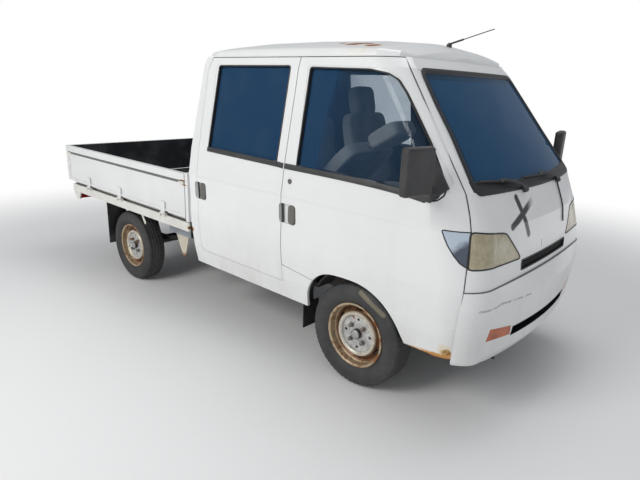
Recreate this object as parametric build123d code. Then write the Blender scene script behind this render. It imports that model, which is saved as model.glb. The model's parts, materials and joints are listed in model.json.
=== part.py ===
"""Four-door cab-forward mini truck with a drop-side bed, built as separate panels and parts.

The truck faces -Y, its right side is -X and +Z is up. Every shape is drawn in the body frame,
level and square, with the front axle at y = 0. Just before it is saved it is turned nose-down about
that axle by STANCE, because the empty truck stands that way, and moved so that the origin lies on
the ground below the middle of the truck. All sizes are in millimetres. Points of a side view are
(y, z), points of a front view are (inset from BODY_HALF, z), unless a comment says otherwise.
"""
import math
import os

from build123d import *

# Stance and wheels
STANCE = 1.56              # nose-down lean of the body over the wheels, degrees
TYRE_R = 278.0             # tyre outside radius
RIM_R = 173.5              # rim flange radius, 13 inch wheel
HUB_R = 27.0               # stub axle and the rim's centre hole
WHEELBASE = 2297.0         # measured on the ground
LEAN = math.radians(STANCE)
AXLE_Z = TYRE_R
REAR_Y = WHEELBASE * math.cos(LEAN)
REAR_Z = AXLE_Z - WHEELBASE * math.sin(LEAN)
BRAKE_R = RIM_R - 61.5

# Widths, all from the half width of the body
BODY_HALF = 740.0
OUT = BODY_HALF + 60       # beyond every skin, for cuts
FRONT_X = BODY_HALF - 100  # front tyre middle
REAR_X = BODY_HALF - 120   # rear tyre middle
KING_X = FRONT_X - 40      # lower end of the steering axis

# Cab
WALL = 50.0                # side walls and doors
GAP = 5.0                  # shut gaps
SEAT = 0.3                 # clearance where one piece rests on another
FLOOR_Z = 470.0            # cab floor top
FLOOR_LOW = FLOOR_Z - 25
SILL_Z = 330.0             # lowest edge of the cab
ROOF_Z = 1648.0            # rain groove height
ROOF_T = 18.0
DOOR_SPLIT_Y = 522.0       # shut line between front and rear door
DOOR_REAR_Y = 1297.0       # rear door's back edge
DOOR_LOW_Z = 430.0         # lower edge of the rear door
DOOR_TOP_Z = ROOF_Z - 4
FRONT_DOOR_LOW_Z = 345.0
HOUSE_R = TYRE_R + 60      # inside of the front wheelhouses
HOUSE_X = FRONT_X - 255
HOOD_Z = 1093.0            # lower edge of the windshield
CAB_BACK_Y = 1397.0
CAB_REAR_R = 22.0          # upright rear corners of the cab
SEAT_BASE_Z = 740.0        # top of the box under the front seats
SEAT_X = 330.0             # middle of each front seat

# Plan outline of the cab at rising heights. Columns: height z, nose middle y, nose edge inset and y,
# corner middle inset and y, side inset, start of the straight side y, back wall y.
CAB_LEVELS = (
    (SILL_Z, -605, 200, -590, 85, -545, 48, -430, CAB_BACK_Y - 13),
    (450.0, -620, 190, -605, 68, -555, 26, -430, CAB_BACK_Y - 5),
    (580.0, -635, 180, -618, 57, -566, 12, -430, CAB_BACK_Y - 1),
    (670.0, -655, 180, -636, 50, -573, 5, -430, CAB_BACK_Y),
    (800.0, -650, 210, -622, 62, -562, 9, -420, CAB_BACK_Y),
    (935.0, -630, 240, -590, 85, -538, 3, -395, CAB_BACK_Y),
    (1000.0, -607, 220, -567, 85, -505, 13, -385, CAB_BACK_Y - 1),
    (HOOD_Z, -575, 140, -508, 72, -462, 25, -370, CAB_BACK_Y - 5),
    (1600.0, -150, 229, -121, 155, -72, 118, 20, CAB_BACK_Y - 45),
    (ROOF_Z, -105, 250, -76, 174, -25, 135, 62, CAB_BACK_Y - 55),
)

# Bumper, in the same columns; its top slopes out from the seam with the nose to the ledge at 600.
BUMPER_LOW_Z = 300.0
BUMPER_LEVELS = (
    (BUMPER_LOW_Z, -655, 200, -605, 85, -555, 50, -470, 1300),
    (340.0, -680, 200, -625, 68, -566, 34, -470, 1300),
    (480.0, -696, 180, -638, 52, -577, 16, -470, 1300),
    (600.0, -702, 180, -648, 45, -584, 8, -470, 1300),
    (685.0, -664, 180, -640, 48, -576, 9, -470, 1300),
)
CORNER_RISE = 32.0         # the bumper's lower edge climbs this much towards the doors

# Roof skin across the cab at rising y. Columns: y, inset, shoulder height, middle height.
ROOF_SECTIONS = (
    (-100.0, 540, 1652.0, 1670.0),
    (-80.0, 284, 1660.0, 1692.0),
    (-40.0, 200, 1676.0, 1716.0),
    (60.0, 158, 1686.0, 1741.0),
    (300.0, 143, 1691.0, 1758.0),
    (700.0, 143, 1693.0, 1765.0),
    (1050.0, 143, 1692.0, 1761.0),
    (1250.0, 148, 1688.0, 1747.0),
    (1332.0, 168, 1680.0, 1724.0),
)

# The front door's shut line, from the sill up the nose corner and along the windshield.
# Columns: y, z, inset of the outer skin where the line crosses it.
FRONT_SHUT = (
    (-535, SILL_Z, 77), (-548, 450, 62), (-565, 670, 43), (-558, 800, 58), (-543, 935, 91),
    (-490, HOOD_Z, 105), (-105, 1600, 194), (-60, ROOF_Z, 215),
)
DOOR_EDGE = 20.0           # the door's front edge turns back this far inside the shut line

# Side windows (y, z)
FRONT_GLASS = (
    (430, 1101), (455, 1590), (440, 1604), (-20, 1596), (-95, 1560), (-440, 1135), (-436, 1112),
    (-379, 1049), (-340, 1048), (-60, 1092), (400, 1099),
)
REAR_GLASS = (
    (562, 1105), (1185, 1092), (1204, 1110), (1220, 1585), (1200, 1604), (585, 1606), (573, 1590),
)

# Lamps and openings of the front (inset, z); the corner lamp is a side view (y, z)
WINDSHIELD = ((144, 1097), (232, 1594))
HEADLAMP = ((40, 940), (310, 910), (430, 776), (40, 783))
AMBER_LAMP = ((382, 412), (184, 428), (195, 490), (368, 464))
GRILLE_HALF, GRILLE_Z0, GRILLE_Z1 = 295.0, 714.0, 763.0
INTAKE_HALF, INTAKE_Z0, INTAKE_Z1 = BODY_HALF - 390, 402.0, 450.0
CORNER_LAMP = (
    (-600, 792), (-600, 936), (-539, 939), (-444, 944), (-457, 916), (-475, 882), (-503, 843), (-532, 811),
    (-560, 792),
)

# Pull handle cups across the rear edge of each door. Columns: front y, rear y.
HANDLE_CUPS = ((412.0, DOOR_SPLIT_Y + 18), (1207.0, DOOR_REAR_Y + 26))
HANDLE_Z0, HANDLE_Z1 = 781.0, 891.0
HANDLE_DEPTH = 22.0

# Bed
BED_Y0 = CAB_BACK_Y + 5
BED_Y1 = REAR_Y + 962
DECK_Z = 620.0
DECK_T = 22.0
GATE_TOP_Z = 922.0
GATE_T = 32.0
GATE_Y0 = BED_Y0 + 36
RAIL_LOW_Z = 533.0
HINGE_YS = (BED_Y0 + 304, (BED_Y0 + BED_Y1) / 2 - 4, BED_Y1 - 413)
TAIL_HINGE_IN = 150.0      # outer hinges of the tailgate from its ends
HINGE_Z = 608.0
HINGE_OUT = 8.0            # hinge axis outside the gate's face
PIN_R = 4.0

# Frame and running gear
FRAME_X = 330.0            # rail centre
FRAME_HALF = 28.0          # half the rail's width
RAIL_TOP_Z = 530.0         # top of the frame below the bed
CROSS_LOW_Z = 457.0        # underside of the crossmembers below the bed
SPRING_X = BODY_HALF - 285
SPRING_HALF = 475.0        # spring eye from the axle
EYE_Z = 360.0
EYE_PIN_R = 6.0
TOW_R = 15.0               # hole of the towing eyes
DAMPER_TOP_Z = 440.0
SPARE_X, SPARE_Y, SPARE_Z = -22.0, REAR_Y + 444, 350.0
RACK_Y, RACK_Z, RACK_ROD_R = 112.0, 236.0, 9.0
ARM_Z = 213.0              # steering arms of the knuckles, just below the rack's bar


def settle(shape):
    """Turn a finished body-frame shape nose-down about the front axle."""
    pivot = Location((0, 0, AXLE_Z))
    return pivot * Rot(STANCE, 0, 0) * pivot.inverse() * shape


def block(x0, x1, y0, y1, z0, z1):
    """Box between two corners."""
    size = (abs(x1 - x0), abs(y1 - y0), abs(z1 - z0))
    return Pos((x0 + x1) / 2, (y0 + y1) / 2, (z0 + z1) / 2) * Box(*size)


def both(shape):
    """The shape and its mirror image on the other side."""
    return [shape, mirror(shape, about=Plane.YZ)]


def rod(a, b, r):
    """Round bar between two points."""
    start = Vector(*a)
    way = Vector(*b) - start
    place = Plane(origin=start, z_dir=way.normalized())
    return place * Cylinder(r, way.length, align=(Align.CENTER, Align.CENTER, Align.MIN))


def along_x(y, z, r, x0, x1):
    """Cylinder lying across the truck."""
    return rod((x0, y, z), (x1, y, z), r)


def side_prism(points, x0, x1):
    """Outline in side view (y, z), extruded across the truck."""
    face = Plane.YZ * make_face(Polyline(*points, close=True))
    return Pos(x0, 0, 0) * extrude(face, x1 - x0)


def front_prism(points, y0, y1):
    """Outline in front view (x, z), extruded along the truck."""
    wire = Polyline(*[(x, y0, z) for x, z in points], close=True)
    return extrude(make_face(wire), y1 - y0, dir=(0, 1, 0))


def inset(points):
    """Front view points given from the body side, as (x, z) on the left half."""
    return [(BODY_HALF - d, z) for d, z in points]


def across(points):
    """Front view points given from the body side, carried over to the other half and back."""
    left = inset(points)
    return left + [(-x, z) for x, z in reversed(left)]


def ring(points):
    """Outline of (x, radius) turned about the X axis."""
    face = make_face(Polyline(*[(x, r, 0) for x, r in points], close=True))
    return revolve(face, Axis.X)


def cab_ring(level, t):
    """Plan outline of the cab at one level, moved in by t."""
    z, yc, edge_in, ye, mid_in, ym, side_in, ys, yr = level
    xe, ye, yc = BODY_HALF - edge_in - 0.2 * t, ye + t, yc + t
    xm, ym = BODY_HALF - mid_in - 0.75 * t, ym + 0.75 * t
    w, ys, yr = BODY_HALF - side_in - t, ys + 0.3 * t, yr - t
    r = max(CAB_REAR_R - 0.6 * t, 8)
    k = r * (1 - math.sqrt(0.5))
    edges = [
        ThreePointArc((-xe, ye, z), (0, yc, z), (xe, ye, z)),
        ThreePointArc((xe, ye, z), (xm, ym, z), (w, ys, z)),
        Line((w, ys, z), (w, yr - r, z)),
        ThreePointArc((w, yr - r, z), (w - k, yr - k, z), (w - r, yr, z)),
        Line((w - r, yr, z), (-w + r, yr, z)),
        ThreePointArc((-w + r, yr, z), (-w + k, yr - k, z), (-w, yr - r, z)),
        Line((-w, yr - r, z), (-w, ys, z)),
        ThreePointArc((-w, ys, z), (-xm, ym, z), (-xe, ye, z)),
    ]
    return make_face(edges)


def levels_solid(levels, t):
    """Solid through the plan outlines of a table, moved in by t."""
    return loft([cab_ring(level, t) for level in levels], ruled=True)


def cab_solid(t):
    """Whole cab up to the rain groove, moved in by t."""
    return levels_solid(CAB_LEVELS, t)


def roof_solid(t):
    """Crowned roof with rounded shoulders, moved in by t; the inner one reaches below the groove."""
    low = ROOF_Z - 2 * t
    faces = []
    for y, side_in, shoulder, middle in ROOF_SECTIONS:
        y2 = min(max(y, ROOF_SECTIONS[0][0] + t), ROOF_SECTIONS[-1][0] - t)
        w, z0, zc = BODY_HALF - side_in - t, shoulder - t, middle - t
        turn, rise = 28.0, z0 - low
        faces.append(make_face([
            ThreePointArc((-w + turn, y2, z0), (0, y2, zc), (w - turn, y2, z0)),
            ThreePointArc((w - turn, y2, z0), (w - 0.28 * turn, y2, low + 0.7 * rise), (w, y2, low)),
            Line((w, y2, low), (-w, y2, low)),
            ThreePointArc((-w, y2, low), (-w + 0.28 * turn, y2, low + 0.7 * rise), (-w + turn, y2, z0)),
        ]))
    return loft(faces, ruled=True)


def wheel_space(side):
    """Room that the steered front wheel needs under the cab."""
    return along_x(0, AXLE_Z, HOUSE_R, side * HOUSE_X, side * OUT)


def front_region(gap):
    """Side outline of everything ahead of the front doors, less half a shut gap."""
    line = [(y - gap, z) for y, z, _ in FRONT_SHUT]
    low, top = SILL_Z - 60, ROOF_Z + 1
    return [(-900, low), (line[0][0], low)] + line + [(line[-1][0], top), (-900, top)]


def header_region(gap):
    """Front view outline of what stays with the nose inboard of the doors' turned-back edges."""
    line = [(side_in + DOOR_EDGE + gap, z) for _, z, side_in in FRONT_SHUT]
    return across([(line[0][0], SILL_Z - 60)] + line + [(line[-1][0], ROOF_Z + 1)])


def front_door_outline(gap):
    """Side outline of the front door, less half a shut gap."""
    line = [(y + gap, z) for y, z, _ in FRONT_SHUT if z < DOOR_TOP_Z]
    line[0] = (line[0][0], FRONT_DOOR_LOW_Z)
    y1 = DOOR_SPLIT_Y - gap
    return line + [
        (-68 + gap, DOOR_TOP_Z), (y1, DOOR_TOP_Z), (y1, 534 + gap),
        (280, 502 + gap), (280, FRONT_DOOR_LOW_Z),
    ]


def rear_door_outline(gap):
    """Side outline of the rear door, less half a shut gap."""
    y0, y1, z0 = DOOR_SPLIT_Y + gap, DOOR_REAR_Y - gap, DOOR_LOW_Z + gap
    return [(y0, z0), (y1 - 30, z0), (y1, z0 + 30), (y1, 1570), (y1 - 30, DOOR_TOP_Z), (y0, DOOR_TOP_Z)]


def sill_outline():
    """Side outline of the body side that the doors leave: sill and back pillar."""
    low, top, corner_y = SILL_Z - 1, ROOF_Z + 1, DOOR_REAR_Y - 28
    return [
        (275, low), (275, 500), (DOOR_SPLIT_Y, 532), (DOOR_SPLIT_Y, DOOR_LOW_Z), (corner_y, DOOR_LOW_Z),
        (DOOR_REAR_Y, DOOR_LOW_Z + 30), (DOOR_REAR_Y, 1570), (corner_y, ROOF_Z - 1), (corner_y, top),
        (1450, top), (1450, low),
    ]


def arch_prism():
    """Front wheel arch opening of the left side: a straight foot, then three arcs over the tyre."""
    foot, back, low = (-345, 250), (336, 370), (340, 250)
    rise, crown, fall = (-259, 415.5), (-15, 579.5), (153, 575.5)
    edges = [
        Line(foot, rise),
        ThreePointArc(rise, (-165, 522.7), crown),
        ThreePointArc(crown, (49, 582), fall),
        ThreePointArc(fall, (294.5, 493.5), back),
        Line(back, low),
        Line(low, foot),
    ]
    return Pos(300, 0, 0) * extrude(Plane.YZ * make_face(edges), OUT - 300)


def handle_cup(y0, y1):
    """Rounded recess of a pull handle, as deep as HANDLE_DEPTH below the skin."""
    middle = Pos((y0 + y1) / 2, (HANDLE_Z0 + HANDLE_Z1) / 2)
    outline = middle * RectangleRounded(y1 - y0, HANDLE_Z1 - HANDLE_Z0, 20)
    return Pos(500, 0, 0) * extrude(Plane.YZ * outline, OUT - 500)


parts = {}


def add(name, shape):
    """Keep a finished piece under its name; a list holds solids that don't touch."""
    if isinstance(shape, (list, tuple)):
        solids = []
        for one in shape:
            solids.extend(one.solids())
        shape = Compound(solids) if len(solids) > 1 else solids[0]
    parts[name] = shape


# Cab shells: outer skin, inside of the walls, and the lining that loose pieces stop at
outer = cab_solid(0)
inner = cab_solid(WALL)
lining = cab_solid(WALL + SEAT)
frame_inside = cab_solid(WALL + 46)
shell = outer - inner
ring_wall = lining - frame_inside
half_gap = GAP / 2

# Nose, bumper and front lamps
front_block = side_prism(front_region(half_gap), -OUT, OUT)
header_block = front_prism(header_region(GAP), -900, 100)
bumper_body = levels_solid(BUMPER_LEVELS, 0)
bumper = bumper_body & front_block
bumper = bumper - cab_solid(14) - block(-OUT, OUT, -900, 800, BUMPER_LOW_Z - 10, SILL_Z - 0.1)
lip = (bumper_body - levels_solid(BUMPER_LEVELS, 30)) & front_block
lip = lip & block(-OUT, OUT, -900, 800, BUMPER_LOW_Z, SILL_Z + 1)
bumper = bumper + lip
rise_points = (
    (270, BUMPER_LOW_Z), (0, BUMPER_LOW_Z + CORNER_RISE),
    (0, BUMPER_LOW_Z - 20), (270, BUMPER_LOW_Z - 20),
)
for one in both(front_prism(inset(rise_points), -900, -400)):
    bumper = bumper - one
nose = (shell & (front_block + header_block)) - bumper
screen_hole = front_prism(across(WINDSHIELD), -760, 60)
grille_hole = front_prism(
    [
        (-GRILLE_HALF, GRILLE_Z0), (-GRILLE_HALF, GRILLE_Z1),
        (GRILLE_HALF, GRILLE_Z1), (GRILLE_HALF, GRILLE_Z0),
    ],
    -760, -560,
)
nose = nose - screen_hole - grille_hole
lamps = []
for one in both(front_prism(inset(HEADLAMP), -760, -420)):
    lamps.append((shell & one & front_block) - bumper)
    nose = nose - one
add("headlamps", lamps)
ambers = []
for one in both(front_prism(inset(AMBER_LAMP), -760, -480)):
    ambers.append(bumper & one)
    bumper = bumper - one
add("front_indicators", ambers)
intake = block(-INTAKE_HALF, INTAKE_HALF, -760, -560, INTAKE_Z0, INTAKE_Z1)
add("front_bumper", bumper - intake)
add("nose_panel", nose)
add("windshield", (cab_solid(6) - cab_solid(12)) & screen_hole & front_block)

# Side frames: sill, back pillar, middle pillar, roof rail and windshield pillar
back_hole = front_prism(across(((140, 290), (140, 935), (240, ROOF_Z + 1))), 1300, 1420)
arch_block = arch_prism()
cups = [handle_cup(y0, y1) & (outer - cab_solid(HANDLE_DEPTH)) for y0, y1 in HANDLE_CUPS]
pillar_y0, pillar_y1 = DOOR_SPLIT_Y - 60, DOOR_SPLIT_Y + 60
post = ring_wall & block(300, OUT, pillar_y0, pillar_y1, SILL_Z, ROOF_Z)
joined_wall = cab_solid(WALL - 1) - frame_inside
post_foot = joined_wall & block(300, OUT, pillar_y0, pillar_y1, SILL_Z, DOOR_LOW_Z)
roof_rail = ring_wall & block(300, OUT, -40, 1300, 1606, ROOF_Z)
back_join = joined_wall & block(BODY_HALF - 205, OUT, DOOR_REAR_Y, 1325, 1560, ROOF_Z)
screen_post = ring_wall & side_prism([(-400, 1200), (-335, 1200), (-5, ROOF_Z), (-75, ROOF_Z)], 430, OUT)
side_left = (shell & side_prism(sill_outline(), 300, OUT)) - back_hole - arch_block - cups[1]
side_left = side_left + post + post_foot + roof_rail + back_join
add("side_frames", both(side_left))

rear_wall = shell & back_hole & block(-OUT, OUT, 1200, 1500, FLOOR_LOW, 1700)
rear_hole = front_prism(across(((235, 1125), (300, 1575))), 1250, 1420)
add("rear_window", (cab_solid(8) - cab_solid(13)) & rear_hole & back_hole)
add("rear_wall", rear_wall - rear_hole)

roof = roof_solid(0) - (roof_solid(ROOF_T) & block(-OUT, OUT, -400, 1500, ROOF_Z - 60, 2000))
rim_top = loft([cab_ring(CAB_LEVELS[-1], 0), Pos(0, 0, 4) * cab_ring(CAB_LEVELS[-1], 0)], ruled=True)
rim_in = loft([cab_ring(CAB_LEVELS[-1], 70), Pos(0, 0, 40) * cab_ring(CAB_LEVELS[-1], 70)], ruled=True)
add("roof_panel", roof + (rim_top - rim_in))

# Floor pan with wheelhouses and the box under the front seats
floor = lining & block(-OUT, OUT, -900, 1500, FLOOR_LOW, FLOOR_Z)
for side in (-1, 1):
    hump = along_x(0, AXLE_Z, HOUSE_R + 12, side * (HOUSE_X - 12), side * OUT)
    floor = floor + (hump & lining & block(-OUT, OUT, -900, 1500, FLOOR_LOW, 800))
seat_box = BODY_HALF - 180
floor = floor + block(-seat_box, seat_box, 235, 860, FLOOR_Z - 1, SEAT_BASE_Z)
floor = floor - block(-seat_box + 15, seat_box - 15, 250, 845, FLOOR_LOW - 5, SEAT_BASE_Z - 15)
for side in (-1, 1):
    floor = floor - wheel_space(side)
for one in both(post) + both(post_foot):
    floor = floor - one
add("cab_floor", floor)

# Doors with their glass, corner lamps and mirrors
door_skin = cab_solid(16) - cab_solid(20)
front_cut = side_prism(front_door_outline(half_gap), 400, OUT) - front_prism(header_region(0), -900, 100)
rear_cut = side_prism(rear_door_outline(half_gap), 400, OUT)
front_hole = side_prism(FRONT_GLASS, 400, OUT)
rear_hole_side = side_prism(REAR_GLASS, 400, OUT)
corner_lamp = (outer - cab_solid(HANDLE_DEPTH)) & side_prism(CORNER_LAMP, 500, OUT) & front_cut
front_door = (shell & front_cut) - arch_block - front_hole - corner_lamp - cups[0]
rear_door = (shell & rear_cut) - rear_hole_side - cups[0] - cups[1]
mirror_arm = rod((BODY_HALF - 28, -330, 1085), (BODY_HALF + 50, -360, 1150), 11)
mirror_head = Pos(BODY_HALF + 95, -368, 1190) * Rot(0, 0, 12) * Box(160, 50, 200)
mirror_head = fillet(mirror_head.edges(), 16)
sail_outline = [(-436, 1112), (-379, 1049), (-250, 1062), (-330, 1250)]
sail = (cab_solid(-9) - outer) & side_prism(sail_outline, 500, OUT)
for name, shape in (
    ("door_front", front_door), ("door_rear", rear_door),
    ("glass_front", door_skin & front_hole & front_cut),
    ("glass_rear", door_skin & rear_hole_side & rear_cut), ("corner_lamp", corner_lamp),
    ("mirror", mirror_head + mirror_arm + sail),
):
    add(name + "_left", shape)
    add(name + "_right", mirror(shape, about=Plane.YZ))

# Inside the cab
DASH_HALF = BODY_HALF - 185
dash_outline = [(-620, 800), (-620, 1040), (-420, 1052), (-330, 985), (-310, 900), (-330, 800)]
dash = side_prism(dash_outline, -DASH_HALF, DASH_HALF) & lining
add("dashboard", dash)
COLUMN_TILT = math.radians(38.0)
HAND_WHEEL_MID = Vector(310.0, -165.0, 1052.0)
column_way = Vector(0, math.sin(COLUMN_TILT), math.cos(COLUMN_TILT))
column_low = HAND_WHEEL_MID - column_way * 470
column_top = HAND_WHEEL_MID - column_way * (59 + SEAT)
add("steering_column", rod(tuple(column_low), tuple(column_top), 26) - dash)
wheel_plane = Plane(origin=HAND_WHEEL_MID, z_dir=column_way)
hand_wheel = wheel_plane * Torus(182, 14) + wheel_plane * Pos(0, 0, -24) * Cylinder(38, 70)
for angle in (0, 120, 240):
    hand_wheel = hand_wheel + wheel_plane * Rot(0, 0, angle + 90) * Pos(95, 0, -4) * Box(170, 26, 12)
add("steering_wheel", hand_wheel)

# The left seat's back stands up, the right one's is folded forward onto its cushion. Columns: middle x,
# then y, height above the seat's base and lean of the back, of the head restraint and of its post.
FRONT_SEATS = (
    (SEAT_X, (760, 350, -12), (832, 670, -12), (812, 580, -12)),
    (-SEAT_X, (403, 282, 44), (110, 532, 60), (215, 472, 55)),
)
seats = []
for x, back_at, head_at, post_at in FRONT_SEATS:
    one = fillet(block(x - 225, x + 225, 240, 720, SEAT_BASE_Z + SEAT, SEAT_BASE_Z + 140).edges(), 35)
    for (y, rise, lean), pad in (
        (back_at, fillet(Box(440, 110, 520).edges(), 40)), (head_at, fillet(Box(230, 100, 210).edges(), 35)),
        (post_at, Box(120, 50, 120)),
    ):
        one = one + Pos(x, y, SEAT_BASE_Z + rise) * Rot(lean, 0, 0) * pad
    seats.append(one)
add("front_seats", seats)
bench_half = BODY_HALF - 180
bench = fillet(block(-bench_half, bench_half, 960, 1240, 700, 850).edges(), 30)
bench = bench + block(-bench_half + 20, bench_half - 20, 1000, 1230, FLOOR_Z, 720)
bench_back = fillet(Box(2 * bench_half, 90, 480).edges(), 30)
add("rear_bench", (bench + Pos(0, 1262, 1060) * Rot(-8, 0, 0) * bench_back) & lining)

# Frame rails with their brackets
RAIL_IN, RAIL_OUT = FRAME_X - FRAME_HALF, FRAME_X + FRAME_HALF
rail_outline = [
    (-540, SILL_Z), (-540, 420), (BED_Y0 - 2, 420), (BED_Y0 + 198, RAIL_TOP_Z), (BED_Y1 - 108, RAIL_TOP_Z),
    (BED_Y1 - 108, 440), (BED_Y0 + 238, 440), (BED_Y0 + 28, SILL_Z),
]
rail = side_prism(rail_outline, RAIL_IN, RAIL_OUT)
for y in (-450, 400, 1200):
    rail = rail + block(RAIL_IN + 3, RAIL_OUT - 3, y - 30, y + 30, 419, FLOOR_LOW)
for y in (REAR_Y - SPRING_HALF, REAR_Y + SPRING_HALF):
    rail = rail + block(RAIL_OUT - 8, SPRING_X + 35, y - 30, y + 30, 440, 470)
    for x in (SPRING_X - 35, SPRING_X + 28):
        rail = rail + block(x, x + 7, y - 30, y + 30, EYE_Z - 30, 460)
    rail = rail + along_x(y, EYE_Z, EYE_PIN_R, SPRING_X - 34, SPRING_X + 34)
# Columns: front and rear y, lower and upper z, then y and z of the hole
for y0, y1, z0, z1, yh, zh in (
    (-598, -450, 240, SILL_Z - 0.5, -574, 264), (BED_Y1 - 198, BED_Y1 - 78, 370, 440, BED_Y1 - 103, 398),
):
    rail = rail + (block(324, 336, y0, y1, z0, z1) - along_x(yh, zh, TOW_R, 310, 350))
rail = rail + block(324, 336, -535, -450, 300, SILL_Z + 10)
rail = rail + block(200, RAIL_IN + 1, 500, 560, 345, 395)
# Outrigger ahead of the rear wheel with its guard plate and hanging hook
GUARD_Y = REAR_Y - 606
rail = rail + block(RAIL_OUT - 2, SPRING_X + 150, GUARD_Y - 30, GUARD_Y + 30, 440, 470)
rail = rail + block(SPRING_X + 144, SPRING_X + 150, GUARD_Y - 106, GUARD_Y + 167, 420, 484)
hook_outline = [(GUARD_Y - 79, 421), (GUARD_Y + 77, 421), (GUARD_Y, 262), (GUARD_Y - 28, 262)]
rail = rail + side_prism(hook_outline, SPRING_X + 144, SPRING_X + 150)
rail = rail + block(
    RAIL_OUT - 8, SPRING_X - 30, REAR_Y + 120, REAR_Y + 185, DAMPER_TOP_Z, DAMPER_TOP_Z + 12
)
add("frame_rails", both(rail))

# Crossmembers between the rails. Columns: y, middle z.
CROSS_IN_CAB = ((-505, 375), (-300, 375), (BED_Y0 - 152, 391))
CROSS_TANK_Y = REAR_Y - 536
CROSS_SPARE_Y = REAR_Y + 484
CROSS_AT_BED = ((CROSS_TANK_Y, 485), (REAR_Y + 4, 500), (CROSS_SPARE_Y, 485), (BED_Y1 - 158, 485))
members = {}
for y, z in CROSS_IN_CAB + CROSS_AT_BED:
    members[y] = block(-RAIL_IN, RAIL_IN, y - 25, y + 25, z - 28, z + 28)
hanger_y = CROSS_SPARE_Y - 16
hanger_low, hanger_top = SPARE_Z + 50 + SEAT, CROSS_LOW_Z + 5
members[CROSS_SPARE_Y] += rod((SPARE_X, hanger_y, hanger_low), (SPARE_X, hanger_y, hanger_top), 14)
members[CROSS_TANK_Y] += block(215, 235, CROSS_TANK_Y - 10, CROSS_TANK_Y + 10, 425 + SEAT, CROSS_LOW_Z + 5)
add("frame_crossmembers", list(members.values()))

# Engine, drive line, tank and exhaust
add("engine_block", block(-200, 200, 270, 780, 300, 700))
drive = rod((0, 780, 335), (0, 1140, 335), 88) + rod((0, 1130, 330), (0, REAR_Y - 150, 238), 26)
add("driveline", drive)
tank = block(-285, -60, CROSS_TANK_Y - 310, CROSS_TANK_Y + 190, 300, CROSS_LOW_Z - SEAT)
add("fuel_tank", fillet(tank.edges(), 25))
muffler_y0, muffler_y1 = CROSS_TANK_Y - 150, CROSS_TANK_Y + 230
pipe = fillet(block(140, 290, muffler_y0, muffler_y1, 300, 425).edges(), 30)
# Columns: start, end, radius
for start, end, r in (
    ((226, 700, 330), (226, muffler_y0 - 110, 300), 22),
    ((226, muffler_y0 - 110, 300), (220, muffler_y0 + 10, 330), 22),
    ((230, muffler_y1 - 10, 370), (250, muffler_y1 + 110, 400), 18),
    ((250, muffler_y1 + 110, 400), (279, REAR_Y + 144, 400), 15),
    ((279, REAR_Y + 144, 400), (279, BED_Y1 - 178, 380), 15),
):
    pipe = pipe + rod(start, end, r)
add("exhaust", pipe + along_x(715, 330, 16, 200 + SEAT, 226))

# Front suspension: lower arms, strut towers and the steering rack's housing
KING_LOW = Vector(KING_X, 0.0, 165.0)
KING_TOP = Vector(KING_X - 127.6, 0.0, 596.0)
king_way = (KING_TOP - KING_LOW).normalized()
arm_half = ((FRAME_X + 10, 95), (KING_X - 150, 60), (KING_X - 4, 18))
arm_points = [(x, -y, 155) for x, y in arm_half] + [(x, y, 155) for x, y in reversed(arm_half)]
arm = extrude(make_face(Polyline(*arm_points, close=True)), -22)
arm = arm + block(RAIL_IN, FRAME_X + 15, -95, 95, 133, 155)
for y in (-95, 60):
    arm = arm + block(RAIL_IN, FRAME_X + 15, y, y + 35, 133, SILL_Z)
arm = arm + Pos(KING_LOW) * Sphere(14)
cup_place = Plane(origin=KING_TOP + king_way * SEAT, z_dir=king_way)
tower = cup_place * Cylinder(58, 40, align=(Align.CENTER, Align.CENTER, Align.MIN))
tower = tower & along_x(0, AXLE_Z, HOUSE_R, HOUSE_X, FRONT_X + 60)
PIN_X = KING_X - 48        # joint of steering arm and rack bar
ROD_END = PIN_X - 13 - SEAT
rack_half = FRAME_X - 45
rack = rod((-rack_half, RACK_Y, RACK_Z), (rack_half, RACK_Y, RACK_Z), 26)
rack = rack - rod((-rack_half - 15, RACK_Y, RACK_Z), (rack_half + 15, RACK_Y, RACK_Z), RACK_ROD_R + SEAT)
for side in (-1, 1):
    rack = rack + block(side * (rack_half - 35), side * (rack_half - 5), 95, 130, 255, 340)
rack = rack + block(-RAIL_IN, RAIL_IN, 95, 130, 335, 350)
add("front_suspension", both(arm) + both(tower) + [rack])
add("tie_rods", rod((-ROD_END, RACK_Y, RACK_Z), (ROD_END, RACK_Y, RACK_Z), RACK_ROD_R))


def knuckle():
    """Left steering knuckle with its strut, spring, brake drum, stub axle and steering arm."""
    leg = rod(tuple(KING_LOW + king_way * 22), tuple(KING_TOP - king_way * 4), 20)
    coil = rod(tuple(KING_LOW + king_way * 330), tuple(KING_TOP), 42)
    drum = along_x(0, AXLE_Z, BRAKE_R, FRONT_X - 44, FRONT_X)
    stub = along_x(0, AXLE_Z, HUB_R, FRONT_X - 80, FRONT_X + 50)
    web = block(FRONT_X - 80, FRONT_X - 40, -30, 30, 175, 400)
    ball = Pos(KING_X, 0, 180) * Cylinder(21, 32)
    steer = rod((KING_X - 15, 20, ARM_Z), (PIN_X + 4, RACK_Y, ARM_Z), 9)
    steer = steer + Pos(PIN_X, RACK_Y, ARM_Z) * Cylinder(13, 18)
    return leg + coil + drum + stub + web + ball + steer - Pos(KING_LOW) * Sphere(14 + SEAT)


knuckle_left = knuckle()
add("knuckle_left", knuckle_left)
add("knuckle_right", mirror(knuckle_left, about=Plane.YZ))

# Rear axle, leaf springs and dampers
LEAF_T = 7.0
LEAF_HALF_W = 25.0
LEAF_RISE = 95.0
LEAF_Z = REAR_Z + 38       # underside of the lowest leaf
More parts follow.
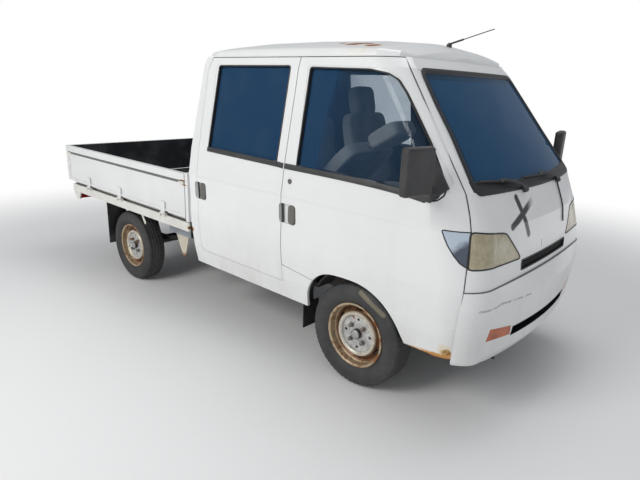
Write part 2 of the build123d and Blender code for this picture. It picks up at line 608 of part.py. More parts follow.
# Columns: place from the top, half length
LEAVES = ((0, SPRING_HALF), (1, 0.84 * SPRING_HALF), (2, 0.63 * SPRING_HALF), (3, 0.42 * SPRING_HALF))
axle = along_x(REAR_Y, REAR_Z, 34, -REAR_X + 60, REAR_X - 60) + Pos(0, REAR_Y, REAR_Z) * Sphere(112)
axle = axle + rod((0, REAR_Y - 80, REAR_Z + 15), (0, REAR_Y - 149, 238), 40)
for side in (-1, 1):
    foot_in, foot_out = side * (SPRING_X - 70), side * (SPRING_X - 35)
    axle = axle + block(foot_in, foot_out, REAR_Y + 5, REAR_Y + 85, REAR_Z - 15, REAR_Z + 12)
    axle = axle + along_x(REAR_Y, REAR_Z, BRAKE_R, side * (REAR_X - 75), side * REAR_X)
    axle = axle + along_x(REAR_Y, REAR_Z, HUB_R, side * (REAR_X - 20), side * (REAR_X + 50))
    pad_in, pad_out = side * (SPRING_X - 30), side * (SPRING_X + 30)
    axle = axle + block(pad_in, pad_out, REAR_Y - 45, REAR_Y + 45, REAR_Z, LEAF_Z - 1)
add("rear_axle", axle)


def leaf(z_mid, half, rise):
    """One leaf in side view: an arc resting on the axle pad."""
    arcs = []
    for z in (z_mid, z_mid + LEAF_T):
        arcs.append(ThreePointArc((REAR_Y - half, z + rise), (REAR_Y, z), (REAR_Y + half, z + rise)))
    ends = [Line(arcs[0] @ end, arcs[1] @ end) for end in (0, 1)]
    face = Plane.YZ * make_face(arcs + ends)
    return Pos(SPRING_X - LEAF_HALF_W, 0, 0) * extrude(face, 2 * LEAF_HALF_W)


spring = None
for number, half in LEAVES:
    rise = LEAF_RISE * (half / SPRING_HALF) ** 2
    one = leaf(LEAF_Z + (3 - number) * LEAF_T, half, rise)
    spring = one if spring is None else spring + one
for y in (REAR_Y - SPRING_HALF, REAR_Y + SPRING_HALF):
    spring = spring + along_x(y, EYE_Z, 18, SPRING_X - LEAF_HALF_W, SPRING_X + LEAF_HALF_W)
    spring = spring - along_x(y, EYE_Z, EYE_PIN_R + SEAT, SPRING_X - 30, SPRING_X + 30)
add("leaf_springs", both(spring))
damper_x = SPRING_X - 55
damper = rod((damper_x, REAR_Y + 50, REAR_Z), (damper_x, REAR_Y + 160, DAMPER_TOP_Z + 20), 20)
damper_low, damper_top = REAR_Z + 12 + SEAT, DAMPER_TOP_Z - SEAT
damper_room = block(damper_x - 100, damper_x + 100, REAR_Y, REAR_Y + 300, damper_low, damper_top)
add("rear_dampers", both(damper & damper_room))


# Wheels, drawn about the X axis with the middle at 0 and the outer face towards +X
def rim_shape():
    """Pressed steel rim: a barrel and a disc with a raised ring, vent slots, a dish and its holes."""
    # Columns: x, how far inside the flange radius
    barrel = (
        (-62, 0), (-57, 0), (-55, 6.5), (-36, 7.5), (-26, 23.5), (10, 23.5), (22, 7.5), (55, 6.5), (57, 0),
        (62, 0), (62, 5.5), (58, 11.5), (26, 13.5), (12, 28.5), (-28, 28.5), (-38, 12.5),
        (-58, 11.5), (-62, 5.5),
    )
    outer_disc = (
        (-6, 26.5), (6, 26.5), (14, 36.5), (23, 46.5), (38, 52.5), (44, 57.5), (44, 67.5),
        (39, 73.5), (28, 78.5),
    )
    inner_disc = (
        (22, 75.5), (33, 70.5), (38, 65.5), (38, 61.5), (34, 58.5), (17, 52.5), (8, 42.5),
        (-2, 33.5), (-6, 33.5),
    )
    hub = [(28, HUB_R + SEAT), (22, HUB_R + SEAT)]
    disc = ring([(x, RIM_R - d) for x, d in outer_disc] + hub + [(x, RIM_R - d) for x, d in inner_disc])
    for number in range(6):
        disc = disc - Rot(number * 60, 0, 0) * Pos(20, 0, RIM_R - 41) * Rot(0, 90, 0) * Box(12, 46, 80)
    for number in range(4):
        disc = disc - Rot(number * 90 + 45, 0, 0) * Pos(30, 0, 55) * Rot(0, 90, 0) * Cylinder(7, 40)
        disc = disc - Rot(number * 90, 0, 0) * Pos(30, 0, 78) * Rot(0, 90, 0) * Cylinder(8, 40)
    return ring([(x, RIM_R - d) for x, d in barrel]) + disc


def tyre_shape():
    """Tyre with its beads on the rim."""
    bead = RIM_R - 6.2
    half = [
        (54.7, bead), (54.7, bead + 6.7), (72, RIM_R + 21.5), (79, RIM_R + 48.5), (76, TYRE_R - 32),
        (66, TYRE_R - 10), (54, TYRE_R - 2),
    ]
    return ring([(-x, r) for x, r in half] + [(0, TYRE_R)] + [(x, r) for x, r in reversed(half)])


rim = rim_shape()
tyre = tyre_shape()
WHEELS = (
    ("front_left", FRONT_X, 0.0, AXLE_Z, 1), ("front_right", -FRONT_X, 0.0, AXLE_Z, -1),
    ("rear_left", REAR_X, REAR_Y, REAR_Z, 1), ("rear_right", -REAR_X, REAR_Y, REAR_Z, -1),
)
for name, x, y, z, side in WHEELS:
    turn = Rot(0, 0, 0) if side == 1 else Rot(0, 0, 180)
    add("rim_" + name, Pos(x, y, z) * turn * rim)
    add("tyre_" + name, Pos(x, y, z) * turn * tyre)
spare_r = RIM_R - 5
spare_rim = ring([(-50, 0), (-50, spare_r), (50, spare_r), (50, 60), (-20, 60), (-20, 0)])
add("spare_wheel", Pos(SPARE_X, SPARE_Y, SPARE_Z) * Rot(0, 90, 0) * (tyre + spare_rim))


# Bed: headboard, deck, crossmembers and drop gates
def gate(length, hinge_xs):
    """Drop gate lying along X from 0 to length, outer face at y = 0, thickness towards +y."""
    panel = block(0, length, 0, GATE_T, DECK_Z + 2, GATE_TOP_Z)
    panel = panel - block(-1, length + 1, -1, 8, GATE_TOP_Z - 66, GATE_TOP_Z - 56)
    panel = panel - block(14, length - 14, -1, 5, DECK_Z + 22, GATE_TOP_Z - 86)
    for x in hinge_xs:
        panel = panel + block(x - 24, x + 24, -6, 1, HINGE_Z, DECK_Z + 70)
        panel = panel + along_x(-HINGE_OUT, HINGE_Z, 8, x - 24, x + 24)
        panel = panel - along_x(-HINGE_OUT, HINGE_Z, PIN_R + SEAT, x - 25, x + 25)
    return panel


def hinge_pins(hinge_xs):
    """Fixed half of a gate's hinges, in the gate's own frame: pins held between two ears."""
    pins = []
    for x in hinge_xs:
        pin = along_x(-HINGE_OUT, HINGE_Z, PIN_R, x - 32, x + 32)
        for ear in (x - 32, x + 26):
            pin = pin + block(ear, ear + 6, -HINGE_OUT - 5, 10, HINGE_Z - 24, HINGE_Z + 5)
        pins.append(pin)
    return pins


head_half = BODY_HALF - 2
head = block(-head_half, head_half, BED_Y0, BED_Y0 + 26, DECK_Z - 20, GATE_TOP_Z + 6)
for side in (-1, 1):
    post_in, post_out = side * (head_half - 58), side * head_half
    head = head + block(post_in, post_out, BED_Y0, BED_Y0 + 30, DECK_Z - 20, GATE_TOP_Z + 6)
add("headboard", head)

side_rail_y1 = BED_Y1 - 90
skirt_in = BODY_HALF - 40
deck_half = BODY_HALF - GATE_T - 4
deck = block(-deck_half, deck_half, BED_Y0 + 30, BED_Y1 - 40, DECK_Z - DECK_T, DECK_Z)
foot_outline = [
    (side_rail_y1, RAIL_LOW_Z + 2), (side_rail_y1 - 128, RAIL_LOW_Z + 2),
    (side_rail_y1 - 90, RAIL_LOW_Z - 64),
    (side_rail_y1 - 42, RAIL_LOW_Z - 64),
]
skirt = block(BODY_HALF - 28, BODY_HALF, BED_Y0, side_rail_y1, RAIL_LOW_Z, DECK_Z - 26)
skirt = skirt + block(skirt_in, BODY_HALF - 20, BED_Y0, side_rail_y1, RAIL_LOW_Z, DECK_Z - 24)
skirt_out = BODY_HALF - GATE_T - 5
skirt = skirt + block(skirt_in, skirt_out, BED_Y0 + 31, side_rail_y1, RAIL_LOW_Z, DECK_Z - DECK_T + 1)
skirt = skirt + side_prism(foot_outline, BODY_HALF - 16, BODY_HALF - 3)
for one in both(skirt):
    deck = deck + one
rear_sill = BODY_HALF - 60
deck = deck + block(-rear_sill, rear_sill, BED_Y1 - 46, BED_Y1 - 6, RAIL_LOW_Z, DECK_Z - 30)
deck = deck + block(-rear_sill, rear_sill, BED_Y1 - 46, BED_Y1 - 34, RAIL_LOW_Z, DECK_Z)
left_place = Pos(BODY_HALF, GATE_Y0, 0) * Rot(0, 0, 90)
side_hinges = [y - GATE_Y0 for y in HINGE_YS]
for pin in hinge_pins(side_hinges):
    for one in both(left_place * pin):
        deck = deck + one
left_gate = left_place * gate(BED_Y1 - GATE_T - 8 - GATE_Y0, side_hinges)
add("side_gate_left", left_gate)
add("side_gate_right", mirror(left_gate, about=Plane.YZ))
tail_length = 2 * head_half
tail_hinges = [TAIL_HINGE_IN, tail_length / 2, tail_length - TAIL_HINGE_IN]
tail_place = Pos(head_half, BED_Y1, 0) * Rot(0, 0, 180)
for pin in hinge_pins(tail_hinges):
    deck = deck + tail_place * pin
add("tailgate", tail_place * gate(tail_length, tail_hinges))
add("bed_floor", deck)
BAR_PITCH = 380.0
bars = []
for y in [BED_Y0 + 78 + number * BAR_PITCH for number in range(5)] + [BED_Y1 - 98]:
    bars.append(block(-skirt_in, skirt_in, y - 30, y + 30, RAIL_TOP_Z, DECK_Z - DECK_T))
add("bed_crossmembers", bars)

# Mud flaps, tail lamps, plate and antenna
rear_flap = block(REAR_X - 60, BODY_HALF - 25, REAR_Y + 312, REAR_Y + 318, 170, RAIL_TOP_Z - SEAT)
front_flap = block(FRONT_X - 80, BODY_HALF - 56, 375, 381, 180, SILL_Z - SEAT)
add("mud_flaps", both(rear_flap) + both(front_flap))
LAMP_Y0 = BED_Y1 - 46
add("tail_lamps", both(block(BODY_HALF - 200, rear_sill, LAMP_Y0, LAMP_Y0 + 44, 445, RAIL_LOW_Z - SEAT)))
add("rear_plate", block(-190, 190, LAMP_Y0 + 6, LAMP_Y0 + 16, 380, RAIL_LOW_Z - SEAT))
MAST_FOOT = (0, 13, 1744)
MAST_TIP = (100, -185, 1822)
mast_joint = tuple(a + (b - a) * 0.33 for a, b in zip(MAST_FOOT, MAST_TIP))
mast = rod((0, 13, 1700), MAST_FOOT, 14) + rod(MAST_FOOT, mast_joint, 5)
mast = mast + Pos(*MAST_FOOT) * Sphere(8) + rod(mast_joint, MAST_TIP, 2.5)
add("antenna", mast - roof_solid(0))

if __name__ == "__main__":
    os.makedirs("parts", exist_ok=True)
    settled = {name: settle(shape) for name, shape in parts.items()}
    boxes = [shape.bounding_box() for shape in settled.values()]
    middle_y = (min(box.min.Y for box in boxes) + max(box.max.Y for box in boxes)) / 2
    for name, shape in settled.items():
        export_step(Pos(0, -middle_y, 0) * shape, "parts/" + name + ".step")
    print("middle of the length, mm behind the front axle:", round(middle_y, 4))
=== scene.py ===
"""Trim, tyres, seats, seals and worn finishes of a four-door mini truck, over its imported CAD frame.

Places are in metres in the level body frame, in which the CAD is drawn too: the truck faces -Y, its
right side is -X, +Z is up and the front axle is at y = 0. settle() turns finished points nose-down
about that axle, as the empty truck stands, and moves them so that the origin lies below the middle of
the truck. Side views are (y, z), front views (x, z), and out is away from the body's skin. The
tables of outlines at the top are in millimetres.
"""
import itertools
import json
import math

import bmesh
import bpy
import numpy as np
from mathutils import Matrix, Vector


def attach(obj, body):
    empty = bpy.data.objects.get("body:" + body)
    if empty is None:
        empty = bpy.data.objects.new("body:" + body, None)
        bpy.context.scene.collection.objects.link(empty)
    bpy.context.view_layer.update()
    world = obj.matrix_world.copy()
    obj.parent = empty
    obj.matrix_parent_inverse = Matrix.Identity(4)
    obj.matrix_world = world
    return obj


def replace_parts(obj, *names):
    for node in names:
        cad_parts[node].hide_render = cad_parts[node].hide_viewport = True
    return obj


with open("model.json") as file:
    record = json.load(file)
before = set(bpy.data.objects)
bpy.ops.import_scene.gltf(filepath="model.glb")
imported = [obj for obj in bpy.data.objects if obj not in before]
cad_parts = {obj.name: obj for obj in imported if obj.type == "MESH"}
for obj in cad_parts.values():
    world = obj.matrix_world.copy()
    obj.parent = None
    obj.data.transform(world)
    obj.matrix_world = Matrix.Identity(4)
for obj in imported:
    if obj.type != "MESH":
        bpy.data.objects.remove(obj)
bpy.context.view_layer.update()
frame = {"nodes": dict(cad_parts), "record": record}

bl_info = {
    "name": "Drop-side Mini Truck",
    "version": (1, 0, 0),
    "blender": (4, 5, 0),
    "location": "3D View > Sidebar > Truck",
    "description": "Builds the trim, tyres, seats and finishes of a four-door mini truck",
    "category": "Object",
}

# Nose-down lean of the body, height of the front axle, and how far the middle lies behind it
LEAN = math.radians(1.56)
AXLE_Z = 0.278
MIDDLE_Y = 1.2767242
# Rear axle in the body frame, half width of the body, and the bed's ends
WHEELBASE = 2.297
REAR_Y = WHEELBASE * math.cos(LEAN)
REAR_Z = AXLE_Z - WHEELBASE * math.sin(LEAN)
HALF = 0.740
BED_Y0, BED_Y1 = 1.402, REAR_Y + 0.962
# Middles of the front and rear tyres across the truck
FRONT_X, REAR_X = 0.640, 0.620
SIDES = (("left", 1.0), ("right", -1.0))

# Plan outlines of the cab and of the bumper. Columns: height, nose middle y, nose edge inset and y,
# corner middle inset and y, side inset, start of the straight side y, back wall y
CAB_LEVELS = (
    (330, -605, 200, -590, 85, -545, 48, -430, 1384), (450, -620, 190, -605, 68, -555, 26, -430, 1392),
    (580, -635, 180, -618, 57, -566, 12, -430, 1396), (670, -655, 180, -636, 50, -573, 5, -430, 1397),
    (800, -650, 210, -622, 62, -562, 9, -420, 1397), (935, -630, 240, -590, 85, -538, 3, -395, 1397),
    (1000, -607, 220, -567, 85, -505, 13, -385, 1396), (1093, -575, 140, -508, 72, -462, 25, -370, 1392),
    (1600, -150, 229, -121, 155, -72, 118, 20, 1352), (1648, -105, 250, -76, 174, -25, 135, 62, 1342),
)
BUMPER_LEVELS = (
    (300, -655, 200, -605, 85, -555, 50, -470, 1300), (340, -680, 200, -625, 68, -566, 34, -470, 1300),
    (480, -696, 180, -638, 52, -577, 16, -470, 1300), (600, -702, 180, -648, 45, -584, 8, -470, 1300),
    (685, -664, 180, -640, 48, -576, 9, -470, 1300),
)
# Visible panes of the side windows, (y, z)
FRONT_PANE = (
    (430, 1090), (434, 1120), (438, 1594), (60, 1588), (-40, 1572), (-92, 1546), (-145, 1489), (-220, 1395),
    (-310, 1281), (-372, 1192), (-424, 1112), (-428, 1085), (-400, 1058), (-340, 1054), (-60, 1084),
)
REAR_PANE = ((586, 1096), (584, 1600), (1190, 1598), (1202, 1098))
# Shut lines, (y, z): front doors along the nose, between the doors, and rear doors
FRONT_SHUT = (
    (-536, 345), (-548, 450), (-565, 670), (-558, 800), (-543, 935), (-490, 1093), (-105, 1600), (-75, 1636),
)
MIDDLE_SHUT = ((522, 1636), (522, 532), (286, 504))
REAR_SHUT = ((522, 530), (522, 430), (1267, 430), (1297, 460), (1297, 1570), (1267, 1640))
# Corner plate behind the mirror, (y, z)
SAIL = (
    (-315, 1265), (-417, 1106), (-408, 1072), (-379, 1051), (-347, 1059), (-221, 1077), (-324, 1161),
    (-333, 1214),
)
# Camera: width of the photograph and focal length in its pixels, sensor width in mm, place, and
# heading, pitch and roll in degrees; then the point that the lamps aim at
PHOTO_WIDTH = 640
FOCAL_PIXELS = 515.04
SENSOR = 36.0
EYE = (-2.6313, -1.489 - MIDDLE_Y, 1.4699)
EYE_TURN = (48.047, -15.705, 1.04)
LAMPS_AIM = (0.0, 0.0, 0.8)


def settle(points):
    """Level body frame to the parked truck: a turn by LEAN about the front axle's line and a move
    by MIDDLE_Y."""
    p = np.asarray(points, float).reshape(-1, 3)
    c, s = math.cos(LEAN), math.sin(LEAN)
    z = p[:, 2] - AXLE_Z
    return np.stack([p[:, 0], p[:, 1] * c - z * s - MIDDLE_Y, AXLE_Z + p[:, 1] * s + z * c], 1)


def arc(a, m, b, count):
    """Points of the circle through a, m and b, from a to b, at equal angles about its centre."""
    a, m, b = (np.asarray(p, float) for p in (a, m, b))
    left = 2 * np.array([m - a, b - a])
    right = np.array([m @ m - a @ a, b @ b - a @ a])
    centre = np.linalg.solve(left, right)
    turns = [math.atan2(*(p - centre)[::-1]) for p in (a, m, b)]
    t0, tm, t1 = turns[0], *(turns[0] + (t - turns[0] + math.pi) % (2 * math.pi) - math.pi for t in turns[1:])
    if (tm - t0) * (t1 - t0) < 0:
        t1 += math.copysign(2 * math.pi, tm - t0)
    t = np.linspace(t0, t1, count)[:, None]
    return centre + np.linalg.norm(a - centre) * np.hstack([np.cos(t), np.sin(t)])


class Skin:
    """Outer surface given by plan outlines at rising heights, straight between them."""

    def __init__(self, levels):
        rows = []
        for z, yc, edge_in, ye, mid_in, ym, side_in, ys, yr in levels:
            xe, xm, w = HALF * 1000 - edge_in, HALF * 1000 - mid_in, HALF * 1000 - side_in
            nose = arc((-xe, ye), (0, yc), (xe, ye), 41)[20:]
            corner = arc((xe, ye), (xm, ym), (w, ys), 25)[1:]
            side = np.array([(w, ys + (yr - ys) * k / 4) for k in (1, 2, 3, 4)])
            rows.append(np.vstack([nose, corner, side]) / 1000)
        self.rings = np.array(rows)
        self.z = np.array([level[0] for level in levels]) / 1000

    def _ring(self, z):
        """Outline at each height, between those of the two levels about it."""
        k = np.clip(np.searchsorted(self.z, z) - 1, 0, len(self.z) - 2)
        t = ((z - self.z[k]) / (self.z[k + 1] - self.z[k]))[:, None, None]
        return self.rings[k] * (1 - t) + self.rings[k + 1] * t

    def _cross(self, value, z, known, wanted):
        """Wanted coordinate (0 x, 1 y) where the outline at z crosses a value of the known one."""
        ring = self._ring(z)
        k = np.clip((ring[:, :, known] < value[:, None]).sum(1), 1, ring.shape[1] - 1)
        row = np.arange(len(value))
        a, b = ring[row, k - 1, known], ring[row, k, known]
        t = (value - a) / np.where(abs(b - a) < 1e-9, 1, b - a)
        return ring[row, k - 1, wanted] * (1 - t) + ring[row, k, wanted] * t

    def side(self, y, z, out=0.0):
        """Points of the left side at (y, z): x where the outline at z crosses y, moved out."""
        y, z = (np.ravel(v).astype(float) for v in np.broadcast_arrays(y, z))
        return np.stack([self._cross(y, z, 1, 0) + np.ravel(np.broadcast_to(out, y.shape)), y, z], 1)

    def front(self, x, z, out=0.0):
        """Points of the front at (x, z): y where the outline at z crosses |x|, moved out along
        the slope of the middle line."""
        x, z = (np.ravel(v).astype(float) for v in np.broadcast_arrays(x, z))
        y = self._cross(abs(x), z, 0, 1)
        rise = (self._cross(abs(x), z + 0.004, 0, 1) - self._cross(abs(x), z - 0.004, 0, 1)) / 0.008
        n = np.hypot(1, rise)
        out = np.ravel(np.broadcast_to(out, x.shape))
        return np.stack([x, y - out / n, z + out * rise / n], 1)


cab = Skin(CAB_LEVELS)
bumper_skin = Skin(BUMPER_LEVELS)


def quads(nu, nv, around_u=False, around_v=False):
    """Faces of an nu by nv grid of points, rows joined where they go around."""
    i = np.arange(nu if around_u else nu - 1)[:, None]
    j = np.arange(nv if around_v else nv - 1)[None, :]
    a, b = i % nu * nv + j % nv, (i + 1) % nu * nv + j % nv
    c, d = (i + 1) % nu * nv + (j + 1) % nv, i % nu * nv + (j + 1) % nv
    return np.stack([a, b, c, d], 2).reshape(-1, 4).tolist()


def tube(nu, nv, ring=False):
    """Faces of nu rings of nv points, joined to a ring or with both ends shut."""
    faces = quads(nu, nv, ring, True)
    return faces if ring else faces + [list(range(nv)), list(range((nu - 1) * nv, nu * nv))[::-1]]


def join(*shapes):
    """Several (points, faces) as one."""
    points, faces, start = [], [], 0
    for p, f in shapes:
        points.append(np.asarray(p, float).reshape(-1, 3))
        faces.extend([[i + start for i in face] for face in f])
        start += len(points[-1])
    return np.vstack(points), faces


def moved(shape, by):
    """The shape moved by a vector."""
    return shape[0] + by, shape[1]


def turned(shape, degrees):
    """The shape turned about the X axis, from +Y towards +Z."""
    c, s = math.cos(math.radians(degrees)), math.sin(math.radians(degrees))
    x, y, z = np.asarray(shape[0], float).T
    return np.stack([x, y * c - z * s, y * s + z * c], 1), shape[1]


def mirrored(shape, sign):
    """The shape on the other side for sign -1, with its faces turned to point out again."""
    if sign > 0:
        return shape
    return np.asarray(shape[0]) * (-1, 1, 1), [face[::-1] for face in shape[1]]


def smooth_line(points, spacing):
    """Points at even spacing along straight runs."""
    p = np.asarray(points, float)
    s = np.concatenate([[0], np.cumsum(np.linalg.norm(np.diff(p, axis=0), axis=1))])
    t = np.linspace(0, s[-1], max(int(s[-1] / spacing), 2) + 1)
    return np.stack([np.interp(t, s, p[:, k]) for k in range(p.shape[1])], 1)


def rounded(points, radius, spacing, closed=True):
    """Outline with each corner cut by a parabola that starts radius from it, at even spacing."""
    p = np.asarray(points, float)
    before, after = np.roll(p, 1, 0), np.roll(p, -1, 0)
    la = np.linalg.norm(before - p, axis=1, keepdims=True)
    lb = np.linalg.norm(after - p, axis=1, keepdims=True)
    a = p + (before - p) * np.minimum(radius / la, 0.48)
    b = p + (after - p) * np.minimum(radius / lb, 0.48)
    t = np.linspace(0, 1, 7)[None, :, None]
    curve = a[:, None] * (1 - t) ** 2 + p[:, None] * 2 * t * (1 - t) + b[:, None] * t ** 2
    line = curve.reshape(-1, p.shape[1])
    if closed:
        return smooth_line(np.vstack([line, line[:1]]), spacing)[:-1]
    return smooth_line(np.vstack([p[:1], line[7:-7], p[-1:]]), spacing)


def directions(path, closed):
    """Unit direction of a path at each of its points."""
    way = np.roll(path, -1, 0) - np.roll(path, 1, 0) if closed else np.gradient(path, axis=0)
    return way / np.linalg.norm(way, axis=1, keepdims=True)


def sweep(path, profile, out):
    """Profile (across, out) carried along a path: each point is the path's point plus across times
    the cross product of direction and out, plus out times out."""
    path, profile = np.asarray(path, float), np.asarray(profile, float)
    out = np.broadcast_to(np.asarray(out, float), path.shape)
    way = directions(path, False)
    out = out - way * (out * way).sum(1, keepdims=True)
    out /= np.linalg.norm(out, axis=1, keepdims=True)
    across = np.cross(way, out)
    points = path[:, None] + profile[None, :, :1] * across[:, None] + profile[None, :, 1:] * out[:, None]
    return points.reshape(-1, 3), tube(len(path), len(profile))


def ellipse(a, b, count=12, power=1.0):
    """Closed profile: a cos^power, b sin^power, round for 1 and boxy for less."""
    t = np.linspace(0, 2 * math.pi, count, endpoint=False) + math.pi / count
    c, s = np.cos(t), np.sin(t)
    return np.stack([a * np.sign(c) * abs(c) ** power, b * np.sign(s) * abs(s) ** power], 1)


def pebble(centre, size, power=0.35, nu=10, nv=20):
    """Rounded block: half sizes times powers of the cosines and sines of two angles."""
    v = np.linspace(-0.5 * math.pi, 0.5 * math.pi, nu + 2)[1:-1, None]
    u = np.linspace(0, 2 * math.pi, nv, endpoint=False)[None, :]
    cv, sv = abs(np.cos(v)) ** power, np.sign(np.sin(v)) * abs(np.sin(v)) ** power
    cu, su = np.sign(np.cos(u)) * abs(np.cos(u)) ** power, np.sign(np.sin(u)) * abs(np.sin(u)) ** power
    p = np.stack(np.broadcast_arrays(size[0] * cv * cu, size[1] * cv * su, size[2] * sv), 2)
    return p.reshape(-1, 3) + centre, [face[::-1] for face in tube(nu, nv)]


def lathe(profile, count, centre=(0, 0, 0)):
    """Profile (along, radius) turned about the X axis through the centre, its ends shut."""
    p = np.asarray(profile, float)
    t = np.linspace(0, 2 * math.pi, count, endpoint=False)[None, :]
    along, radius = p[:, :1], p[:, 1:]
    points = np.stack(np.broadcast_arrays(along, radius * np.cos(t), radius * np.sin(t)), 2)
    return points.reshape(-1, 3) + centre, [face[::-1] for face in tube(len(p), count)]


def piece(name, shape, finish, body, sharp=35.0):
    """Finished object at the origin, its place in its mesh and its faces outwards, riding on a body."""
    points, faces = shape
    mesh = bpy.data.meshes.new(name)
    mesh.from_pydata(settle(points).tolist(), [], faces)
    mesh.validate()
    shell = bmesh.new()
    shell.from_mesh(mesh)
    bmesh.ops.recalc_face_normals(shell, faces=shell.faces[:])
    shell.to_mesh(mesh)
    shell.free()
    mesh.shade_smooth()
    mesh.set_sharp_from_angle(angle=math.radians(sharp))
    mesh.materials.append(materials[finish])
    obj = bpy.data.objects.new(name, mesh)
    bpy.context.scene.collection.objects.link(obj)
    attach(obj, body)
    return obj


def pair(name, shape, finish, body=None):
    """The piece of the left side and its mirror image, on the truck or on a body of each side."""
    for side, sign in SIDES:
        piece(f"{name}_{side}", mirrored(shape, sign), finish, f"{body}_{side}" if body else "truck")


class Value:
    """One socket of a material, with arithmetic that adds Math nodes."""

    def __init__(self, shader, socket):
        self.shader, self.socket = shader, socket

    def _do(self, operation, *others, clamp=False):
        settings = {"operation": operation, "use_clamp": clamp}
        return self.shader.node("ShaderNodeMath", settings, dict(enumerate((self, *others))))

    def __add__(self, other):
        return self._do("ADD", other)

    __radd__ = __add__

    def __mul__(self, other):
        return self._do("MULTIPLY", other)

    __rmul__ = __mul__

    def __sub__(self, other):
        return self._do("SUBTRACT", other)

    def __rsub__(self, other):
        return self * -1.0 + other

    def __truediv__(self, other):
        return self._do("DIVIDE", other)

    def __pow__(self, other):
        return self._do("POWER", other)

    def abs(self):
        return self._do("ABSOLUTE")

    def sin(self):
        return self._do("SINE")

    def least(self, other):
        return self._do("MINIMUM", other)

    def most(self, other):
        return self._do("MAXIMUM", other)

    def clamped(self):
        return self._do("ADD", 0.0, clamp=True)

    def over(self, low, high):
        """Smooth step from 0 at low to 1 at high; falling where low is above high."""
        settings = {"interpolation_type": "SMOOTHSTEP"}
        inputs = {"Value": self, "From Min": low, "From Max": high}
        return self.shader.node("ShaderNodeMapRange", settings, inputs)


class Finish:
    """A material under construction on Object coordinates of the level body frame."""

    def __init__(self, name):
        self.material = bpy.data.materials.new(name)
        self.material.use_nodes = True
        self.tree = self.material.node_tree
        self.tree.nodes.clear()
        self.end = self.tree.nodes.new("ShaderNodeOutputMaterial")
        where = self.node("ShaderNodeTexCoord", {}, {}, "Object")
        c, s = math.cos(LEAN), math.sin(LEAN)
        move = (0, MIDDLE_Y * c - AXLE_Z * s, AXLE_Z * (1 - c) - MIDDLE_Y * s)
        inputs = {"Vector": where, "Rotation": (-LEAN, 0, 0), "Location": move}
        self.place = self.node("ShaderNodeMapping", {}, inputs)
        apart = {"Vector": self.place}
        self.x, self.y, self.z = (self.node("ShaderNodeSeparateXYZ", {}, apart, k) for k in "XYZ")

    def node(self, kind, settings, inputs, output=0):
        """Adds a node: its settings first, then the values or links of its sockets."""
        node = self.tree.nodes.new(kind)
        for key, value in settings.items():
            setattr(node, key, value)
        for key, value in inputs.items():
            if isinstance(value, Value):
                self.tree.links.new(value.socket, node.inputs[key])
            else:
                node.inputs[key].default_value = value
        return Value(self, node.outputs[output])

    def mix(self, share, a, b):
        """Colour a where share is 0, colour b where it is 1."""
        a, b = ((*c, 1.0) if isinstance(c, tuple) and len(c) == 3 else c for c in (a, b))
        return self.node("ShaderNodeMix", {"data_type": "RGBA"}, {0: share, 6: a, 7: b}, 2)

    def scaled(self, x, y, z):
        """Body place stretched along its axes, for grain that runs one way."""
        return self.node("ShaderNodeMapping", {}, {"Vector": self.place, "Scale": (x, y, z)})

    def noise(self, scale, detail=4.0, rough=0.55, where=None):
        inputs = {"Vector": where or self.place, "Scale": scale, "Detail": detail, "Roughness": rough}
        return self.node("ShaderNodeTexNoise", {}, inputs)

    def cells(self, scale):
        """Distance to the nearest of the random points of a pattern."""
        return self.node("ShaderNodeTexVoronoi", {"feature": "F1"}, {"Vector": self.place, "Scale": scale})

    def spot(self, centre, size, soft=0.6):
        """1 inside an ellipsoid about a place, falling to 0 at its edge."""
        centre = tuple(-c / s for c, s in zip(centre, size))
        scale = tuple(1 / s for s in size)
        near = self.node("ShaderNodeMapping", {}, {"Vector": self.place, "Scale": scale, "Location": centre})
        far = self.node("ShaderNodeVectorMath", {"operation": "LENGTH"}, {0: near}, "Value")
        return far.over(1.0, 1.0 - soft)

    def stroke(self, u, v, a, b, width):
        """1 on the straight stroke from a to b in the plane of the values u and v, 0 beyond width."""
        du, dv = b[0] - a[0], b[1] - a[1]
        t = (((u - a[0]) * du + (v - a[1]) * dv) / (du * du + dv * dv)).clamped()
        eu, ev = u - a[0] - t * du, v - a[1] - t * dv
        return ((eu * eu + ev * ev) ** 0.5).over(width, width * 0.45)

    def bump(self, height, distance, strength):
        return self.node("ShaderNodeBump", {}, {"Height": height, "Distance": distance, "Strength": strength})

    def surface(self, **sockets):
        """Principled surface; keys are its socket names with _ for a space."""
        inputs = {key.replace("_", " "): value for key, value in sockets.items()}
        return self.node("ShaderNodeBsdfPrincipled", {}, inputs)

    def done(self, surface):
        self.tree.links.new(surface.socket, self.end.inputs["Surface"])
        return self.material


def rust_colour(f, grain):
    """Flaky iron oxide: from dark brown to orange by fine noise."""
    return f.mix(grain, (0.075, 0.024, 0.010), (0.36, 0.13, 0.035))


# Rusted places by piece of the body: centre, half sizes
ROOF_RUST = (
    ((-0.445, 0.300, 1.715), (0.095, 0.085, 0.040)), ((-0.410, 0.245, 1.722), (0.060, 0.060, 0.024)),
    ((-0.467, 0.166, 1.706), (0.080, 0.072, 0.036)), ((-0.404, 0.411, 1.726), (0.060, 0.036, 0.022)),
    ((0.300, 0.900, 1.752), (0.060, 0.050, 0.030)),
)
WALL_RUST = (
    ((-0.700, -0.470, 0.338), (0.10, 0.15, 0.040)), ((-0.700, -0.350, 0.334), (0.10, 0.13, 0.022)),
    ((-0.690, -0.515, 0.375), (0.05, 0.04, 0.035)), ((0.700, -0.450, 0.338), (0.10, 0.14, 0.030)),
    ((-0.700, 0.300, 0.345), (0.06, 0.06, 0.020)), ((-0.720, 1.380, 0.560), (0.05, 0.03, 0.030)),
    ((0.400, 1.390, 0.500), (0.12, 0.04, 0.030)), ((-0.745, 0.477, 0.521), (0.03, 0.009, 0.009)),
)
